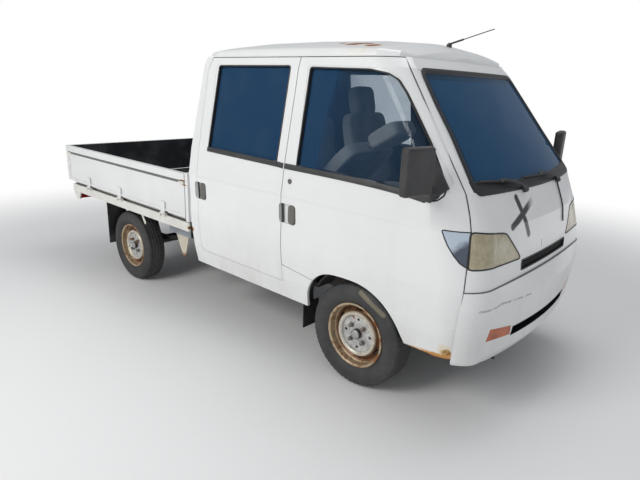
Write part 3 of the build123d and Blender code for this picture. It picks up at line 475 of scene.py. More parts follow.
BED_RUST = (
    ((-0.740, 1.455, 0.874), (0.05, 0.060, 0.009)), ((-0.740, 1.440, 0.846), (0.05, 0.050, 0.007)),
    ((-0.740, 1.400, 0.560), (0.05, 0.030, 0.018)),
    ((0.0, 3.255, 0.640), (0.30, 0.03, 0.012)), ((0.720, 3.100, 0.600), (0.06, 0.09, 0.030)),
)
# Pressed lines of the doors: y and z of both ends, width, height
CREASES = (
    (1.34, 0.926, -0.34, 0.936, 0.016, 1.0), (1.30, 0.655, -0.16, 0.668, 0.034, -0.9),
    (-0.20, 0.496, -0.54, 0.508, 0.008, -1.0),
)


def paint(name, white, rusted=(), wear=1.0, mark=None, hidden=None):
    """Old enamel: clouding, dust that thickens low down, fine specks, rust with orange stains. Mark
    adds sprayed or scuffed places, hidden gives share and colour of what isn't white."""
    f = Finish(name)
    cloud = f.noise(1.7, 5.0)
    streak = f.noise(9.0, 5.0, 0.6, f.scaled(1.0, 1.0, 0.12))
    grain = f.noise(140.0, 6.0, 0.65)
    fine = f.noise(42.0, 5.0, 0.6)
    low = f.z.over(0.80, 0.30)
    dust = ((low * 0.55 + 0.10) * (streak.over(0.42, 0.72) * 0.6 + cloud.over(0.4, 0.7) * 0.5)).clamped()
    speck = fine.over(0.70, 0.78) * grain.over(0.5, 0.62)
    colour = f.mix(cloud.over(0.35, 0.65) * 0.5, white, tuple(v * 0.94 for v in white))
    colour = f.mix(dust * 0.38 * wear, colour, (0.34, 0.29, 0.22))
    colour = f.mix(speck * 0.5 * wear, colour, (0.22, 0.16, 0.11))
    core = 0.0
    if rusted:
        rust = None
        for centre, size in rusted:
            one = f.spot(centre, size, 0.9)
            rust = one if rust is None else rust.most(one)
        edge = (fine - 0.5) * 0.9
        stain = (rust + edge).over(0.14, 0.55)
        core = (rust + edge).over(0.46, 0.66)
        colour = f.mix(stain * 0.7, colour, (0.66, 0.42, 0.16))
        colour = f.mix(core, colour, rust_colour(f, grain))
    if mark:
        colour = mark(f, colour, fine)
    if hidden:
        share, other = hidden(f)
        colour = f.mix(share, colour, other)
    height = fine * 0.12 + grain * 0.03 - core * (grain + 0.4) * 1.5
    flat = f.x.abs().over(0.60, 0.66)
    for y0, z0, y1, z1, width, rise in CREASES:
        slope = (z1 - z0) / (y1 - y0)
        across = (f.z - z0 - (f.y - y0) * slope) / width
        along = f.y.over(y1 - 0.10, y1 + 0.02) * f.y.over(y0 + 0.01, y0 - 0.06)
        height = height + across.over(-1.0, 1.0) * along * flat * (rise * 6.0)
    rough = dust * 0.35 + core * 0.5 + cloud * 0.10 + 0.24
    normal = f.bump(height, 0.0012, 0.6)
    coat = 0.3 - core * 0.3
    return f.done(f.surface(Base_Color=colour, Roughness=rough, Normal=normal, Coat_Roughness=0.12,
                            Coat_Weight=coat))


def inside_walls(f):
    """Share and colour of the cab's inner faces: grey trim above the floor, black in the arches. The
    half width and the back wall are the least of a few straight lines over the height."""
    half = (f.z * 0.1833 + 0.6315).least(f.z * 0.108 + 0.6654).least(0.735)
    half = half.least(f.z * -0.14 + 0.8679).least(f.z * -0.1834 + 0.9155)
    back = (f.z * -0.0789 + 1.4782).least(1.397)
    front = (f.z * 0.78 - 1.215).most(-0.370)
    cup = f.z.over(0.770, 0.775) * f.z.over(0.905, 0.900) * 0.016
    deep = (half - f.x.abs() - cup).over(0.014, 0.018) * (f.y - front).over(0.0, 0.004)
    deep = deep * (back - f.y).over(0.020, 0.024)
    trim = f.mix(f.noise(12.0).over(0.3, 0.7), (0.085, 0.087, 0.092), (0.12, 0.12, 0.12))
    far = (f.y * f.y + (f.z - AXLE_Z) * (f.z - AXLE_Z)) ** 0.5
    black = far.over(0.40, 0.38).most(f.z.over(0.45, 0.44))
    return deep, f.mix(black, trim, (0.018, 0.017, 0.016))


def inside_bumper(f):
    """Share and colour of the slots' cut faces in bumper and nose."""
    low = f.x.abs().over(0.3525, 0.3515) * f.z.over(0.4000, 0.4005) * f.z.over(0.4525, 0.4520)
    high = f.x.abs().over(0.2970, 0.2960) * f.z.over(0.7120, 0.7125) * f.z.over(0.7655, 0.7650)
    return low.most(high), (0.015, 0.015, 0.016)


def bed_inner_shade(f):
    """Share and colour of the gates' and headboard's inner faces: dark greys, lighter in patches by noise, as
    painted shade.
    """
    side = f.x.abs().over(0.7100, 0.7095)
    ends = f.y.over(BED_Y1 - 0.0305, BED_Y1 - 0.0310) * f.y.over(BED_Y0 + 0.0245, BED_Y0 + 0.0250)
    # Two dark greys mixed by noise: painted shade of the inner faces
    worn = f.mix(f.noise(5.0, 6.0, 0.65).over(0.40, 0.75), (0.016, 0.018, 0.022), (0.060, 0.062, 0.066))
    rail = f.z.over(0.9215, 0.9205)
    return side * ends * rail, worn


def deck_coating(f):
    """Share and colour of the bed floor's dark top; its rails and sill below stay white."""
    inner = f.x.abs().over(0.700, 0.698) * f.z.over(0.5965, 0.5975)
    worn = f.mix(f.noise(5.0, 6.0, 0.65).over(0.40, 0.75), (0.020, 0.022, 0.026), (0.075, 0.075, 0.078))
    under = f.x.abs().over(0.728, 0.726) * f.z.over(0.5975, 0.5965) * f.y.over(BED_Y1 - 0.044, BED_Y1 - 0.048)
    return inner.most(under), worn


def sprayed_cross(f, colour, fine):
    """Two crossed strokes of black spray on the nose, one fainter at its upper end, a dark slit below
    them, grey scuffs along the bumper's ledge, and a dark line at the joint of nose and bumper,
    painted shade of the gap."""
    first = f.stroke(f.x, f.z, (-0.296, 1.048), (-0.224, 0.876), 0.022)
    second = f.stroke(f.x, f.z, (-0.150, 1.022), (-0.372, 0.928), 0.021) * f.x.over(-0.120, -0.235)
    slit = f.stroke(f.x, f.z, (-0.072, 0.822), (-0.070, 0.788), 0.0035)
    colour = f.mix((first.most(second) * (fine * 0.4 + 0.95)).clamped(), colour, (0.004, 0.005, 0.007))
    colour = f.mix(slit, colour, (0.006, 0.006, 0.006))
    points = ((-0.645, 0.600), (-0.536, 0.597), (-0.500, 0.607), (-0.400, 0.600), (-0.230, 0.593))
    ledge = 0.0
    for start, end in zip(points, points[1:]):
        ledge = f.stroke(f.x, f.z, start, end, 0.007).most(ledge)
    scuffs = ledge * (f.noise(22.0, 3.0) + fine * 0.5).over(0.55, 0.95)
    colour = f.mix(scuffs * 0.7, colour, (0.16, 0.16, 0.17))
    # Dark line at the joint of nose and bumper: painted shade of the gap between them
    joint_gap_shade = f.z.over(0.6828, 0.6838) * f.z.over(0.6872, 0.6862)
    return f.mix(joint_gap_shade * 0.9, colour, (0.03, 0.03, 0.032))


def pale_stain(f, colour, fine):
    """Pale yellow run below the roof's rust."""
    run = f.spot((-0.555, 0.165, 1.680), (0.09, 0.11, 0.050), 0.8) * fine.over(0.35, 0.6)
    return f.mix(run * 0.35, colour, (0.80, 0.70, 0.42))


def low_stain(f, colour, fine):
    """Yellow and orange run along the front door's lower edge."""
    run = f.stroke(f.y, f.z, (-0.545, 0.350), (-0.300, 0.325), 0.028) * f.x.over(-0.55, -0.60)
    corner = f.spot((-0.690, -0.505, 0.385), (0.06, 0.045, 0.055), 0.9) * fine.over(0.36, 0.6)
    colour = f.mix(corner * 0.7, colour, (0.72, 0.55, 0.22))
    return f.mix(run * (fine * 0.8 + 0.4).clamped(), colour, (0.58, 0.27, 0.06))


def plastic(name, colour, rough=0.5, grain=220.0, dust=0.25):
    """Grained moulded plastic or rubber, greyed by dust in patches."""
    f = Finish(name)
    cloud = f.noise(7.0, 5.0)
    pale = tuple(c * 0.6 + 0.10 for c in colour)
    base = f.mix(cloud.over(0.38, 0.75) * dust, colour, pale)
    height = f.cells(grain) * 0.5 + f.noise(60.0) * 0.4
    return f.done(f.surface(Base_Color=base, Roughness=cloud * 0.25 + (rough - 0.12),
                            Normal=f.bump(height, 0.0004, 0.5)))


def metal(name, colour, rust=0.3, rough=0.45, metallic=0.7):
    """Bare or dull metal with rust that gathers in patches."""
    f = Finish(name)
    grain = f.noise(160.0, 6.0, 0.65)
    patch = (f.noise(11.0, 6.0, 0.6) + (grain - 0.5) * 0.3).over(0.72 - rust * 0.45, 0.80 - rust * 0.40)
    base = f.mix(patch, colour, rust_colour(f, grain))
    height = grain * 0.3 + patch * grain
    return f.done(f.surface(Base_Color=base, Roughness=patch * 0.4 + grain * 0.2 + (rough - 0.1),
                            Metallic=(1.0 - patch) * metallic, Normal=f.bump(height, 0.0008, 0.5)))


def chassis(name, guard=False):
    """Black underbody paint under dried mud, with rust at random places. Guard adds the bluish plate
    and the cream hook that hang at the sides behind the cab."""
    f = Finish(name)
    grain = f.noise(120.0, 6.0, 0.65)
    mud = (f.noise(6.0, 6.0, 0.65) + (grain - 0.5) * 0.25).over(0.48, 0.70)
    rust = (f.noise(14.0, 5.0, 0.6)).over(0.60, 0.68)
    base = f.mix(rust, (0.035, 0.034, 0.033), rust_colour(f, grain))
    base = f.mix(mud * 0.6, base, (0.13, 0.105, 0.078, 1.0))
    if guard:
        place = f.x.abs().over(0.590, 0.592) * f.y.over(1.540, 1.550) * f.y.over(1.885, 1.875)
        coat = f.mix(f.z.over(0.418, 0.420), (0.60, 0.55, 0.45), (0.30, 0.34, 0.37))
        coat = f.mix((f.z + grain * 0.03).over(0.315, 0.285).most(rust), coat, rust_colour(f, grain))
        base = f.mix(place, base, f.mix(mud * 0.4, coat, (0.20, 0.17, 0.13)))
    return f.done(f.surface(Base_Color=base, Roughness=mud * 0.3 + 0.55,
                            Normal=f.bump(grain * 0.6 + mud, 0.002, 0.6)))


def window(name, sky_reflection_blue, share):
    """Thin pane: clear film mixed with a glossy face whose dark blue is a painted reflection of the sky, dusty
    in patches.
    """
    f = Finish(name)
    dust = 0.05
    haze = f.noise(5.0, 6.0, 0.6).over(0.35, 0.8) * dust + f.noise(260.0, 2.0).over(0.62, 0.75) * (dust * 0.8)
    fresnel = f.node("ShaderNodeFresnel", {}, {"IOR": 1.5})
    # The face's dark blue stands for the sky seen in the pane: painted reflection
    face = f.mix(haze, sky_reflection_blue, (0.34, 0.36, 0.38))
    glossy = f.surface(Base_Color=face, Roughness=haze * 0.3 + 0.02)
    through = f.node("ShaderNodeBsdfTransparent", {}, {"Color": (0.90, 0.93, 0.95, 1.0)})
    part = (fresnel * 0.9 + haze + share).clamped()
    return f.done(f.node("ShaderNodeMixShader", {}, {0: part, 1: through, 2: glossy}))


def colour_setting(name, description, default):
    """A colour that a user would change."""
    return bpy.props.FloatVectorProperty(
        name=name, description=description, subtype="COLOR", size=3, default=default, min=0, max=1)


def length_setting(name, description, default, low, high):
    """A length that a user would change."""
    return bpy.props.FloatProperty(
        name=name, description=description, subtype="DISTANCE", default=default, min=low, max=high)


class TruckColours(bpy.types.PropertyGroup):
    """Colours that a user would change."""

    body: colour_setting("Body paint", "White enamel of the cab and gates", (0.79, 0.80, 0.80))
    plastic: colour_setting("Dark plastic", "Mirrors, dash, wipers and grille", (0.030, 0.030, 0.032))
    rubber: colour_setting("Rubber", "Window seals and mud flaps", (0.012, 0.012, 0.013))
    tyre: colour_setting("Tyre", "Worn tyre rubber", (0.030, 0.031, 0.033))
    cloth: colour_setting("Seat cloth", "Light grey woven seat covers", (0.60, 0.59, 0.56))
    amber: colour_setting("Indicator", "Amber lenses", (0.56, 0.10, 0.004))


class TruckSizes(bpy.types.PropertyGroup):
    """Sizes of the trim that a user would change."""

    seal: length_setting("Window seal", "Width of the rubber round the side windows", 0.008, 0.006, 0.03)
    screen_band: length_setting("Screen band", "Width of the windshield's black band", 0.034, 0.01, 0.08)
    tread: length_setting("Tread depth", "Depth of the tyre grooves", 0.0045, 0.001, 0.009)
    blade: length_setting("Wiper blade", "Length of each wiper blade", 0.42, 0.25, 0.5)
    nut: length_setting("Wheel nut", "Half width of a wheel nut across its corners", 0.0115, 0.008, 0.015)


# Finishes by short name, filled by the first operator
materials = {}
# Finish of a CAD node by its material slot
FINISH_OF_SLOT = {
    "bed_paint": "deck", "chassis_paint": "under", "dark_plastic": "dark", "tyre_rubber": "tyre",
    "wheel_paint": "rim", "rubber_black": "flap", "window_glass": "glass", "clear_lens": "clear",
    "clouded_lens": "clouded", "amber_lens": "amber", "red_lens": "red", "engine_metal": "engine",
    "plate_blank": "plate", "seat_cloth": "cloth",
}


def paint_nodes(material, *names):
    """The material on CAD nodes, whose meshes are left alone."""
    for name in names:
        mesh = frame["nodes"][name].data
        mesh.materials.clear()
        mesh.materials.append(material)


def both_sides(name):
    return (name + "_left", name + "_right")


class TRUCK_OT_materials(bpy.types.Operator):
    """Make the finishes and put them on the CAD pieces"""

    bl_idname = "truck.materials"
    bl_label = "Finishes"

    def execute(self, context):
        c = context.scene.truck_colours
        m = materials
        white = tuple(c.body)
        ivory = tuple(v * w for v, w in zip(white, (0.93, 0.91, 0.86)))
        cream = tuple(v * w for v, w in zip(white, (0.93, 0.90, 0.80)))
        m["roof"] = paint("roof_white_enamel", white, ROOF_RUST, 1.0, pale_stain)
        m["front"] = paint("nose_white_enamel", white, (), 1.0, sprayed_cross, inside_bumper)
        m["white"] = paint("worn_white_enamel", white, WALL_RUST, 1.0, low_stain, inside_walls)
        m["gate"] = paint("gate_white_enamel", tuple(v * 0.96 for v in white), BED_RUST, 1.5, None, bed_inner_shade)
        m["deck"] = paint("deck_and_rail_coating", ivory, BED_RUST, 1.8, None, deck_coating)
        m["cream"] = paint("cream_enamel", cream, (), 1.8)
        m["under"] = chassis("underbody_black")
        m["dark"] = plastic("dark_grained_plastic", tuple(c.plastic))
        m["rubber"] = plastic("seal_rubber", tuple(c.rubber), 0.45, 400.0, 0.15)
        m["flap"] = plastic("mud_flap_rubber", tuple(c.rubber), 0.6, 300.0, 0.6)
        m["dash"] = plastic("dash_grey_plastic", (0.060, 0.060, 0.064), 0.6, 260.0, 0.35)
        m["lever"] = plastic("lever_warm_grey", (0.115, 0.110, 0.098), 0.45, 300.0, 0.3)
        m["steel"] = metal("zinc_steel", (0.42, 0.42, 0.41), 0.25)
        m["nut"] = metal("dirty_nut_steel", (0.20, 0.19, 0.18), 0.45, 0.5, 0.5)
        m["engine"] = metal("dull_cast_iron", (0.10, 0.10, 0.10), 0.4, 0.6, 0.5)
        # Dark blue of both panes: painted reflection of the sky
        m["glass"] = window("side_window_glass", (0.025, 0.080, 0.170), 0.12)
        m["screen"] = window("windshield_glass", (0.040, 0.160, 0.340), 0.20)
        # Grey strip in the gates' grooves: painted shade of the recess
        m["groove_shade"] = plastic("gate_groove_shade_grey", (0.125, 0.140, 0.130), 0.6, 200.0, 0.5)
        m["plate"] = plastic("blank_plate", (0.62, 0.62, 0.60), 0.4, 200.0, 0.1)
        m["red"] = self.lens("red_lens", (0.42, 0.010, 0.008), 0.10, 90.0)
        m["amber"] = self.lens("amber_lens", tuple(c.amber), 0.12, 120.0)
        m["clear"] = self.corner_lens()
        m["clouded"] = self.headlamp_lens()
        m["rim"] = self.rim()
        m["tyre"] = self.tyre(tuple(c.tyre))
        m["cloth"] = self.cloth("seat_cloth", tuple(c.cloth))
        paint_nodes(m["roof"], "roof_panel")
        paint_nodes(m["front"], "nose_panel", "front_bumper")
        paint_nodes(m["white"], "side_frames", "rear_wall", *both_sides("door_front"), *both_sides("door_rear"))
        paint_nodes(m["gate"], "tailgate", "headboard", *both_sides("side_gate"))
        for part in frame["record"]["subparts"]:
            if part["material_slot"] in FINISH_OF_SLOT:
                paint_nodes(m[FINISH_OF_SLOT[part["material_slot"]]], part["node"])
        paint_nodes(m["screen"], "windshield")
        paint_nodes(m["dash"], "dashboard", "steering_column")
        paint_nodes(self.floor(), "cab_floor")
        paint_nodes(chassis("rail_black", guard=True), "frame_rails")
        return {"FINISHED"}

    def lens(self, name, colour, rough, ribs):
        """Moulded lens: small bosses by the sines of x and z, depth of colour by noise."""
        f = Finish(name)
        wave = (f.x * ribs * 6.0).sin() * 0.5 + (f.z * ribs * 6.0).sin() * 0.5
        cloud = f.noise(30.0)
        base = f.mix(cloud.over(0.3, 0.7), (*(v * 0.55 for v in colour), 1.0), (*colour, 1.0))
        return f.done(f.surface(Base_Color=base, Roughness=cloud * 0.1 + rough, Coat_Weight=0.15,
                                Coat_Roughness=0.1, Normal=f.bump(wave, 0.0006, 0.5)))

    def corner_lens(self):
        """Clear lamp cover: pale blue above as a painted reflection of the sky, dark at its lower front edge,
        with fine flutes.
        """
        f = Finish("corner_lamp_lens")
        wave = (f.z * 700.0).sin() * (f.y * 520.0).sin()
        low = ((f.z - 0.868) * 1.0 + (f.y + 0.50) * 0.9 + (f.noise(26.0) - 0.5) * 0.05).over(0.018, -0.030)
        # Pale blue of the upper cover: painted reflection of the sky
        base = f.mix(low, (0.52, 0.60, 0.70, 1.0), (0.075, 0.095, 0.13, 1.0))
        return f.done(f.surface(Base_Color=base, Roughness=low * 0.05 + 0.12, Metallic=0.25, Coat_Weight=0.8,
                                Coat_Roughness=0.04, Normal=f.bump(wave, 0.0006, 0.5)))

    def headlamp_lens(self):
        """Yellowed, clouded lens: tan with a paler, clearer patch over the bulb and fine upright flutes."""
        f = Finish("clouded_headlamp_lens")
        cloud = f.noise(18.0, 6.0, 0.6)
        fine = f.noise(150.0, 5.0, 0.6)
        right, left = (f.spot((x, -0.63, 0.855), (0.10, 0.2, 0.055), 0.9) for x in (-0.47, 0.47))
        patch = right.most(left)
        base = f.mix(cloud.over(0.3, 0.7), (0.345, 0.300, 0.190, 1.0), (0.470, 0.420, 0.290, 1.0))
        base = f.mix(patch * 0.55, base, (0.62, 0.60, 0.50, 1.0))
        base = f.mix(fine.over(0.6, 0.7) * 0.2, base, (0.62, 0.58, 0.46, 1.0))
        wave = (f.x * 420.0).sin()
        return f.done(f.surface(Base_Color=base, Roughness=cloud * 0.15 + 0.20, Coat_Weight=0.35,
                                Coat_Roughness=0.1, Normal=f.bump(wave, 0.0007, 0.35)))

    def rim(self):
        """Pressed steel wheel: faded silver disc, orange-brown barrel and flange, by the distance
        from the wheel's own axis."""
        f = Finish("faded_rusted_rim")
        rear = f.y.over(1.0, 1.2)
        dy = f.y - rear * REAR_Y
        dz = f.z - AXLE_Z + rear * (AXLE_Z - REAR_Z)
        far = (dy * dy + dz * dz) ** 0.5
        grain = f.noise(150.0, 6.0, 0.65)
        patch = f.noise(24.0, 6.0, 0.6)
        share = patch.over(0.35, 0.65)
        silver = f.mix(share, (0.42, 0.42, 0.41), (0.66, 0.65, 0.62))
        cream = f.mix(share, (0.52, 0.47, 0.38), (0.70, 0.66, 0.56))
        # The brown barrel between the disc's ring and the flange: rust colour darkened as painted shade of that
        # recess
        brown = f.mix(share, (0.14, 0.070, 0.036), (0.27, 0.15, 0.085))
        tan = f.mix(share, (0.36, 0.26, 0.16), (0.56, 0.45, 0.30))
        base = f.mix(far.over(0.099, 0.103), silver, cream)
        base = f.mix(far.over(0.119, 0.125), base, brown)
        base = f.mix(far.over(0.151, 0.158), base, tan)
        dirt = (patch + (grain - 0.5) * 0.4).over(0.58, 0.68)
        base = f.mix(dirt * 0.6, base, (0.060, 0.046, 0.034))
        edge = far.over(0.105, 0.150) * 0.09
        rust = (f.noise(17.0, 6.0, 0.65) + edge + (grain - 0.5) * 0.3).over(0.60, 0.70)
        base = f.mix(rust, base, rust_colour(f, grain))
        return f.done(f.surface(Base_Color=base, Roughness=rust * 0.35 + patch * 0.2 + 0.30,
                                Metallic=(1.0 - rust) * 0.35,
                                Normal=f.bump(grain * 0.4 + rust * grain, 0.001, 0.6)))

    def tyre(self, colour):
        """Worn rubber: greyed sidewall, brown dust by noise, fine cracks; a pale scuff on one."""
        f = Finish("worn_tyre_rubber")
        cloud = f.noise(9.0, 6.0, 0.6)
        fine = f.noise(120.0, 5.0, 0.6)
        base = f.mix(cloud.over(0.35, 0.7) * 0.6, (*colour, 1.0), (0.075, 0.072, 0.068, 1.0))
        base = f.mix(fine.over(0.55, 0.75) * 0.25, base, (0.11, 0.095, 0.075, 1.0))
        scuff = f.stroke(f.y, f.z, (-0.035, 0.530), (-0.180, 0.455), 0.015) * f.x.over(-0.60, -0.66)
        scuff = scuff * (cloud * 0.7 + 0.35).clamped()
        base = f.mix(scuff * 0.75, base, (0.30, 0.25, 0.17, 1.0))
        return f.done(f.surface(Base_Color=base, Roughness=cloud * 0.2 + 0.55,
                                Normal=f.bump(fine * 0.5 + cloud, 0.0006, 0.5)))

    def cloth(self, name, colour):
        """Woven cover: crossed sines at thread size, soft shading by noise, with sheen."""
        f = Finish(name)
        weave = (f.x * 2400.0).sin() * (f.y * 2400.0 + f.z * 2400.0).sin()
        cloud = f.noise(8.0, 5.0)
        dark = tuple(v * 0.72 for v in colour)
        base = f.mix(cloud.over(0.3, 0.75) * 0.7 + weave * 0.15 + 0.1, (*colour, 1.0), (*dark, 1.0))
        return f.done(f.surface(Base_Color=base, Roughness=cloud * 0.1 + 0.78, Sheen_Weight=0.35,
                                Sheen_Roughness=0.4, Normal=f.bump(weave + cloud * 2.0, 0.0004, 0.6)))

    def floor(self):
        """Cab floor: dark rubber mat above, underbody black below."""
        f = Finish("cab_floor_mat")
        grain = f.noise(90.0, 5.0)
        above = f.z.over(0.462, 0.468)
        ribs = (f.x * 380.0).sin() * above
        worn = f.noise(8.0, 5.0).over(0.35, 0.7) * 0.7
        mat = f.mix(worn, (0.040, 0.040, 0.042), (0.13, 0.12, 0.10))
        far = (f.y * f.y + (f.z - AXLE_Z) * (f.z - AXLE_Z)) ** 0.5
        above = above * far.over(0.342, 0.346).most(f.x.abs().over(0.385, 0.380))
        base = f.mix(above, (0.022, 0.021, 0.020), mat)
        return f.done(f.surface(Base_Color=base, Roughness=grain * 0.2 + 0.6,
                                Normal=f.bump(ribs + grain, 0.0008, 0.5)))


def mm(points):
    """Outline in millimetres as metres."""
    return np.asarray(points, float) / 1000


def strip(drop, turn, outline, profile, closed=True):
    """Profile (across, out) carried round an outline in a view: each point is moved across in that
    view, dropped on the skin there, and moved out. Turn is the sense of across in the view."""
    path, profile = np.asarray(outline, float), np.asarray(profile, float)
    way = directions(path, closed)
    across = np.stack([-way[:, 1], way[:, 0]], 1) * turn
    flat = path[:, None] + profile[None, :, :1] * across[:, None]
    out = np.broadcast_to(profile[None, :, 1], flat.shape[:2])
    return drop(flat[:, :, 0], flat[:, :, 1], out.ravel()), tube(len(path), len(profile), closed)


def side_strip(outline, profile, closed=True):
    """Strip round an outline (y, z) on the cab's left side."""
    return strip(cab.side, 1, outline, profile, closed)


def front_strip(outline, profile):
    """Strip round a closed outline (x, z) on the cab's front."""
    return strip(cab.front, -1, outline, profile)


def side_patch(outline, out, depth):
    """Plate on the cab's left side: rings that shrink towards the outline's centre, at out from the
    skin, and its underside at depth below."""
    path = np.asarray(outline, float)
    centre = path.mean(0)
    shares = np.array([0.02, 0.35, 0.7, 0.97, 1.0, 1.0, 0.02])
    outs = np.array([out, out, out, out, out - 0.0008, out - depth, out - depth])
    flat = centre + shares[:, None, None] * (path - centre)
    points = cab.side(flat[:, :, 0], flat[:, :, 1], np.repeat(outs, len(path)))
    return points, tube(len(shares), len(path))


def counter_clockwise(outline):
    """The outline turned so that it runs counter-clockwise in its own plane."""
    p = np.asarray(outline, float)
    q = np.roll(p, -1, 0)
    area = (p[:, 0] * q[:, 1] - q[:, 0] * p[:, 1]).sum()
    return p if area > 0 else p[::-1]


class TRUCK_OT_seals(bpy.types.Operator):
    """Seals and belt strips of the side windows, dark strips in the shut lines as painted shade of the gaps,
    and the plates at the mirrors
    """

    bl_idname = "truck.seals"
    bl_label = "Side window seals"

    def execute(self, context):
        w = context.scene.truck_sizes.seal * 0.5
        # Across is inwards, as the outlines run counter-clockwise
        rubber = [
            (-w, -0.002), (-w * 0.8, 0.0012), (0.0, 0.0022), (w * 0.8, 0.0005), (w, -0.0155), (-w, -0.0155),
        ]
        flange = [(-0.032, -0.0018), (0.0, -0.0018), (0.0, -0.0160), (-0.032, -0.0160)]
        for name, pane in (("front", FRONT_PANE), ("rear", REAR_PANE)):
            outline = counter_clockwise(rounded(mm(pane), 0.012, 0.010))
            door = name + "_door"
            pair(name + "_window_seal", side_strip(outline, rubber), "rubber", door)
            pair(name + "_window_flange", side_strip(outline, flange), "white", door)
        # Dark rubber strips sunk in the door gaps: painted shade of the gaps
        deep = [(0.0035, -0.016), (0.0035, -0.007), (-0.0035, -0.007), (-0.0035, -0.016)]
        for name, line in (("front", FRONT_SHUT), ("middle", MIDDLE_SHUT), ("rear", REAR_SHUT)):
            dark = side_strip(smooth_line(mm(line), 0.010), deep, closed=False)
            pair("shut_line_" + name, dark, "rubber")
        lines = (
            ("front", [(514, 1090), (424, 1089), (139, 1086), (-102, 1079), (-233, 1071), (-352, 1058)]),
            ("rear", [(1203, 1107), (865, 1099), (586, 1093), (531, 1089)]),
        )
        profile = [
            (0.0145, 0.0), (0.0145, 0.004), (0.008, 0.007), (-0.008, 0.007), (-0.0135, 0.004), (-0.0135, 0.0),
        ]
        for name, line in lines:
            band = side_strip(rounded(mm(line), 0.10, 0.010, closed=False), profile, closed=False)
            pair("belt_strip_" + name, band, "dark", name + "_door")
        sail = counter_clockwise(rounded(mm(SAIL), 0.010, 0.008))
        border = side_strip(sail, [(0.0, 0.0), (0.0, 0.0035), (0.010, 0.0030), (0.010, 0.0)])
        pair("mirror_sail", side_patch(sail, 0.0018, 0.012), "lever", "front_door")
        pair("mirror_sail_edge", border, "rubber", "front_door")
        return {"FINISHED"}


class TRUCK_OT_screen(bpy.types.Operator):
    """Flange, rubber and black band of the windshield, and the cowl below it"""

    bl_idname = "truck.screen"
    bl_label = "Windshield band"

    def execute(self, context):
        w = context.scene.truck_sizes.screen_band
        right = np.array([(0.582, 1.090), (0.530, 1.318), (0.516, 1.443), (0.487, 1.592)])
        corners = np.vstack([right, (right * (-1, 1))[::-1]])
        outline = counter_clockwise(rounded(corners, 0.035, 0.012))
        rubber = [
            (-0.012, 0.0), (-0.010, 0.003), (0.0, 0.005), (0.008, 0.003),
            (0.011, -0.005), (0.0, -0.009), (-0.006, -0.004),
        ]
        band = [(-0.004, -0.0052), (w, -0.0052), (w, -0.0064), (-0.004, -0.0064)]
        flange = [(-0.038, -0.0014), (-0.009, -0.0014), (-0.009, -0.0060), (-0.038, -0.0060)]
        rubber, band, flange = (front_strip(outline, [(-a, b) for a, b in p]) for p in (rubber, band, flange))
        piece("windshield_flange", flange, "front", "truck")
        piece("windshield_rubber", rubber, "rubber", "truck")
        piece("windshield_band", band, "rubber", "truck", 20.0)
        half = 0.587
        x = np.linspace(-0.588, 0.588, 60)
        low, high = 1.082 + 0.013 * (x / half) ** 2, 1.120 + 0.019 * (x / half) ** 2
        rows = (
            (low, 0.0), (low + 0.003, 0.0022), (high - 0.004, 0.0022),
            (high, -0.0020), (high, -0.0080), (low, -0.0080),
        )
        points = np.stack([cab.front(x, z, out) for z, out in rows], 1).reshape(-1, 3)
        piece("windshield_cowl_band", (points, tube(len(x), len(rows))), "rubber", "truck")
        return {"FINISHED"}


class TRUCK_OT_wipers(bpy.types.Operator):
    """Two wipers parked along the lower edge of the windshield, and the washer's hose"""

    bl_idname = "truck.wipers"
    bl_label = "Wipers"

    def execute(self, context):
        length = context.scene.truck_sizes.blade
        tilt = (0, -0.8, 0.6)
        blades = ((1, 0.225, 1.122, length), (2, -0.215, 1.130, length * 0.78))
        for number, pivot, tip_z, length in blades:
            end, middle = pivot - length, pivot - length * 0.52
            cap = turned(pebble((0, 0, 0), (0.019, 0.019, 0.013), 0.7), 55)
            shapes = [moved(cap, cab.front([pivot], [1.080], 0.010)[0])]
            x = np.linspace(pivot, end, 40)
            blade = cab.front(x, np.interp(x, [end, pivot], [tip_z, 1.112]), 0.010)
            shapes.append(sweep(blade, ellipse(0.0035, 0.011, 8, 0.6), tilt))
            x = np.linspace(pivot, middle, 24)
            rise = 0.016 + 0.014 * np.sin(np.linspace(0, math.pi, len(x)))
            arm = cab.front(x, np.interp(x, [middle, pivot], [1.124, 1.080]), rise)
            shapes.append(sweep(arm, ellipse(0.0075, 0.0035, 8, 0.6), tilt))
            shapes.append(pebble(cab.front([middle], [1.122], 0.018)[0], (0.022, 0.006, 0.008), 0.5))
            piece(f"wiper_{number}", join(*shapes), "dark", "truck")
        t = np.linspace(0, 1, 30)
        x = np.interp(t, [0, 0.5, 1], [0.232, 0.252, 0.250])
        hose = sweep(cab.front(x, np.linspace(1.072, 0.86, 30), 0.004), ellipse(0.0035, 0.0035, 8), (0, -1, 0))
        piece("washer_hose", hose, "dark", "truck")
        return {"FINISHED"}


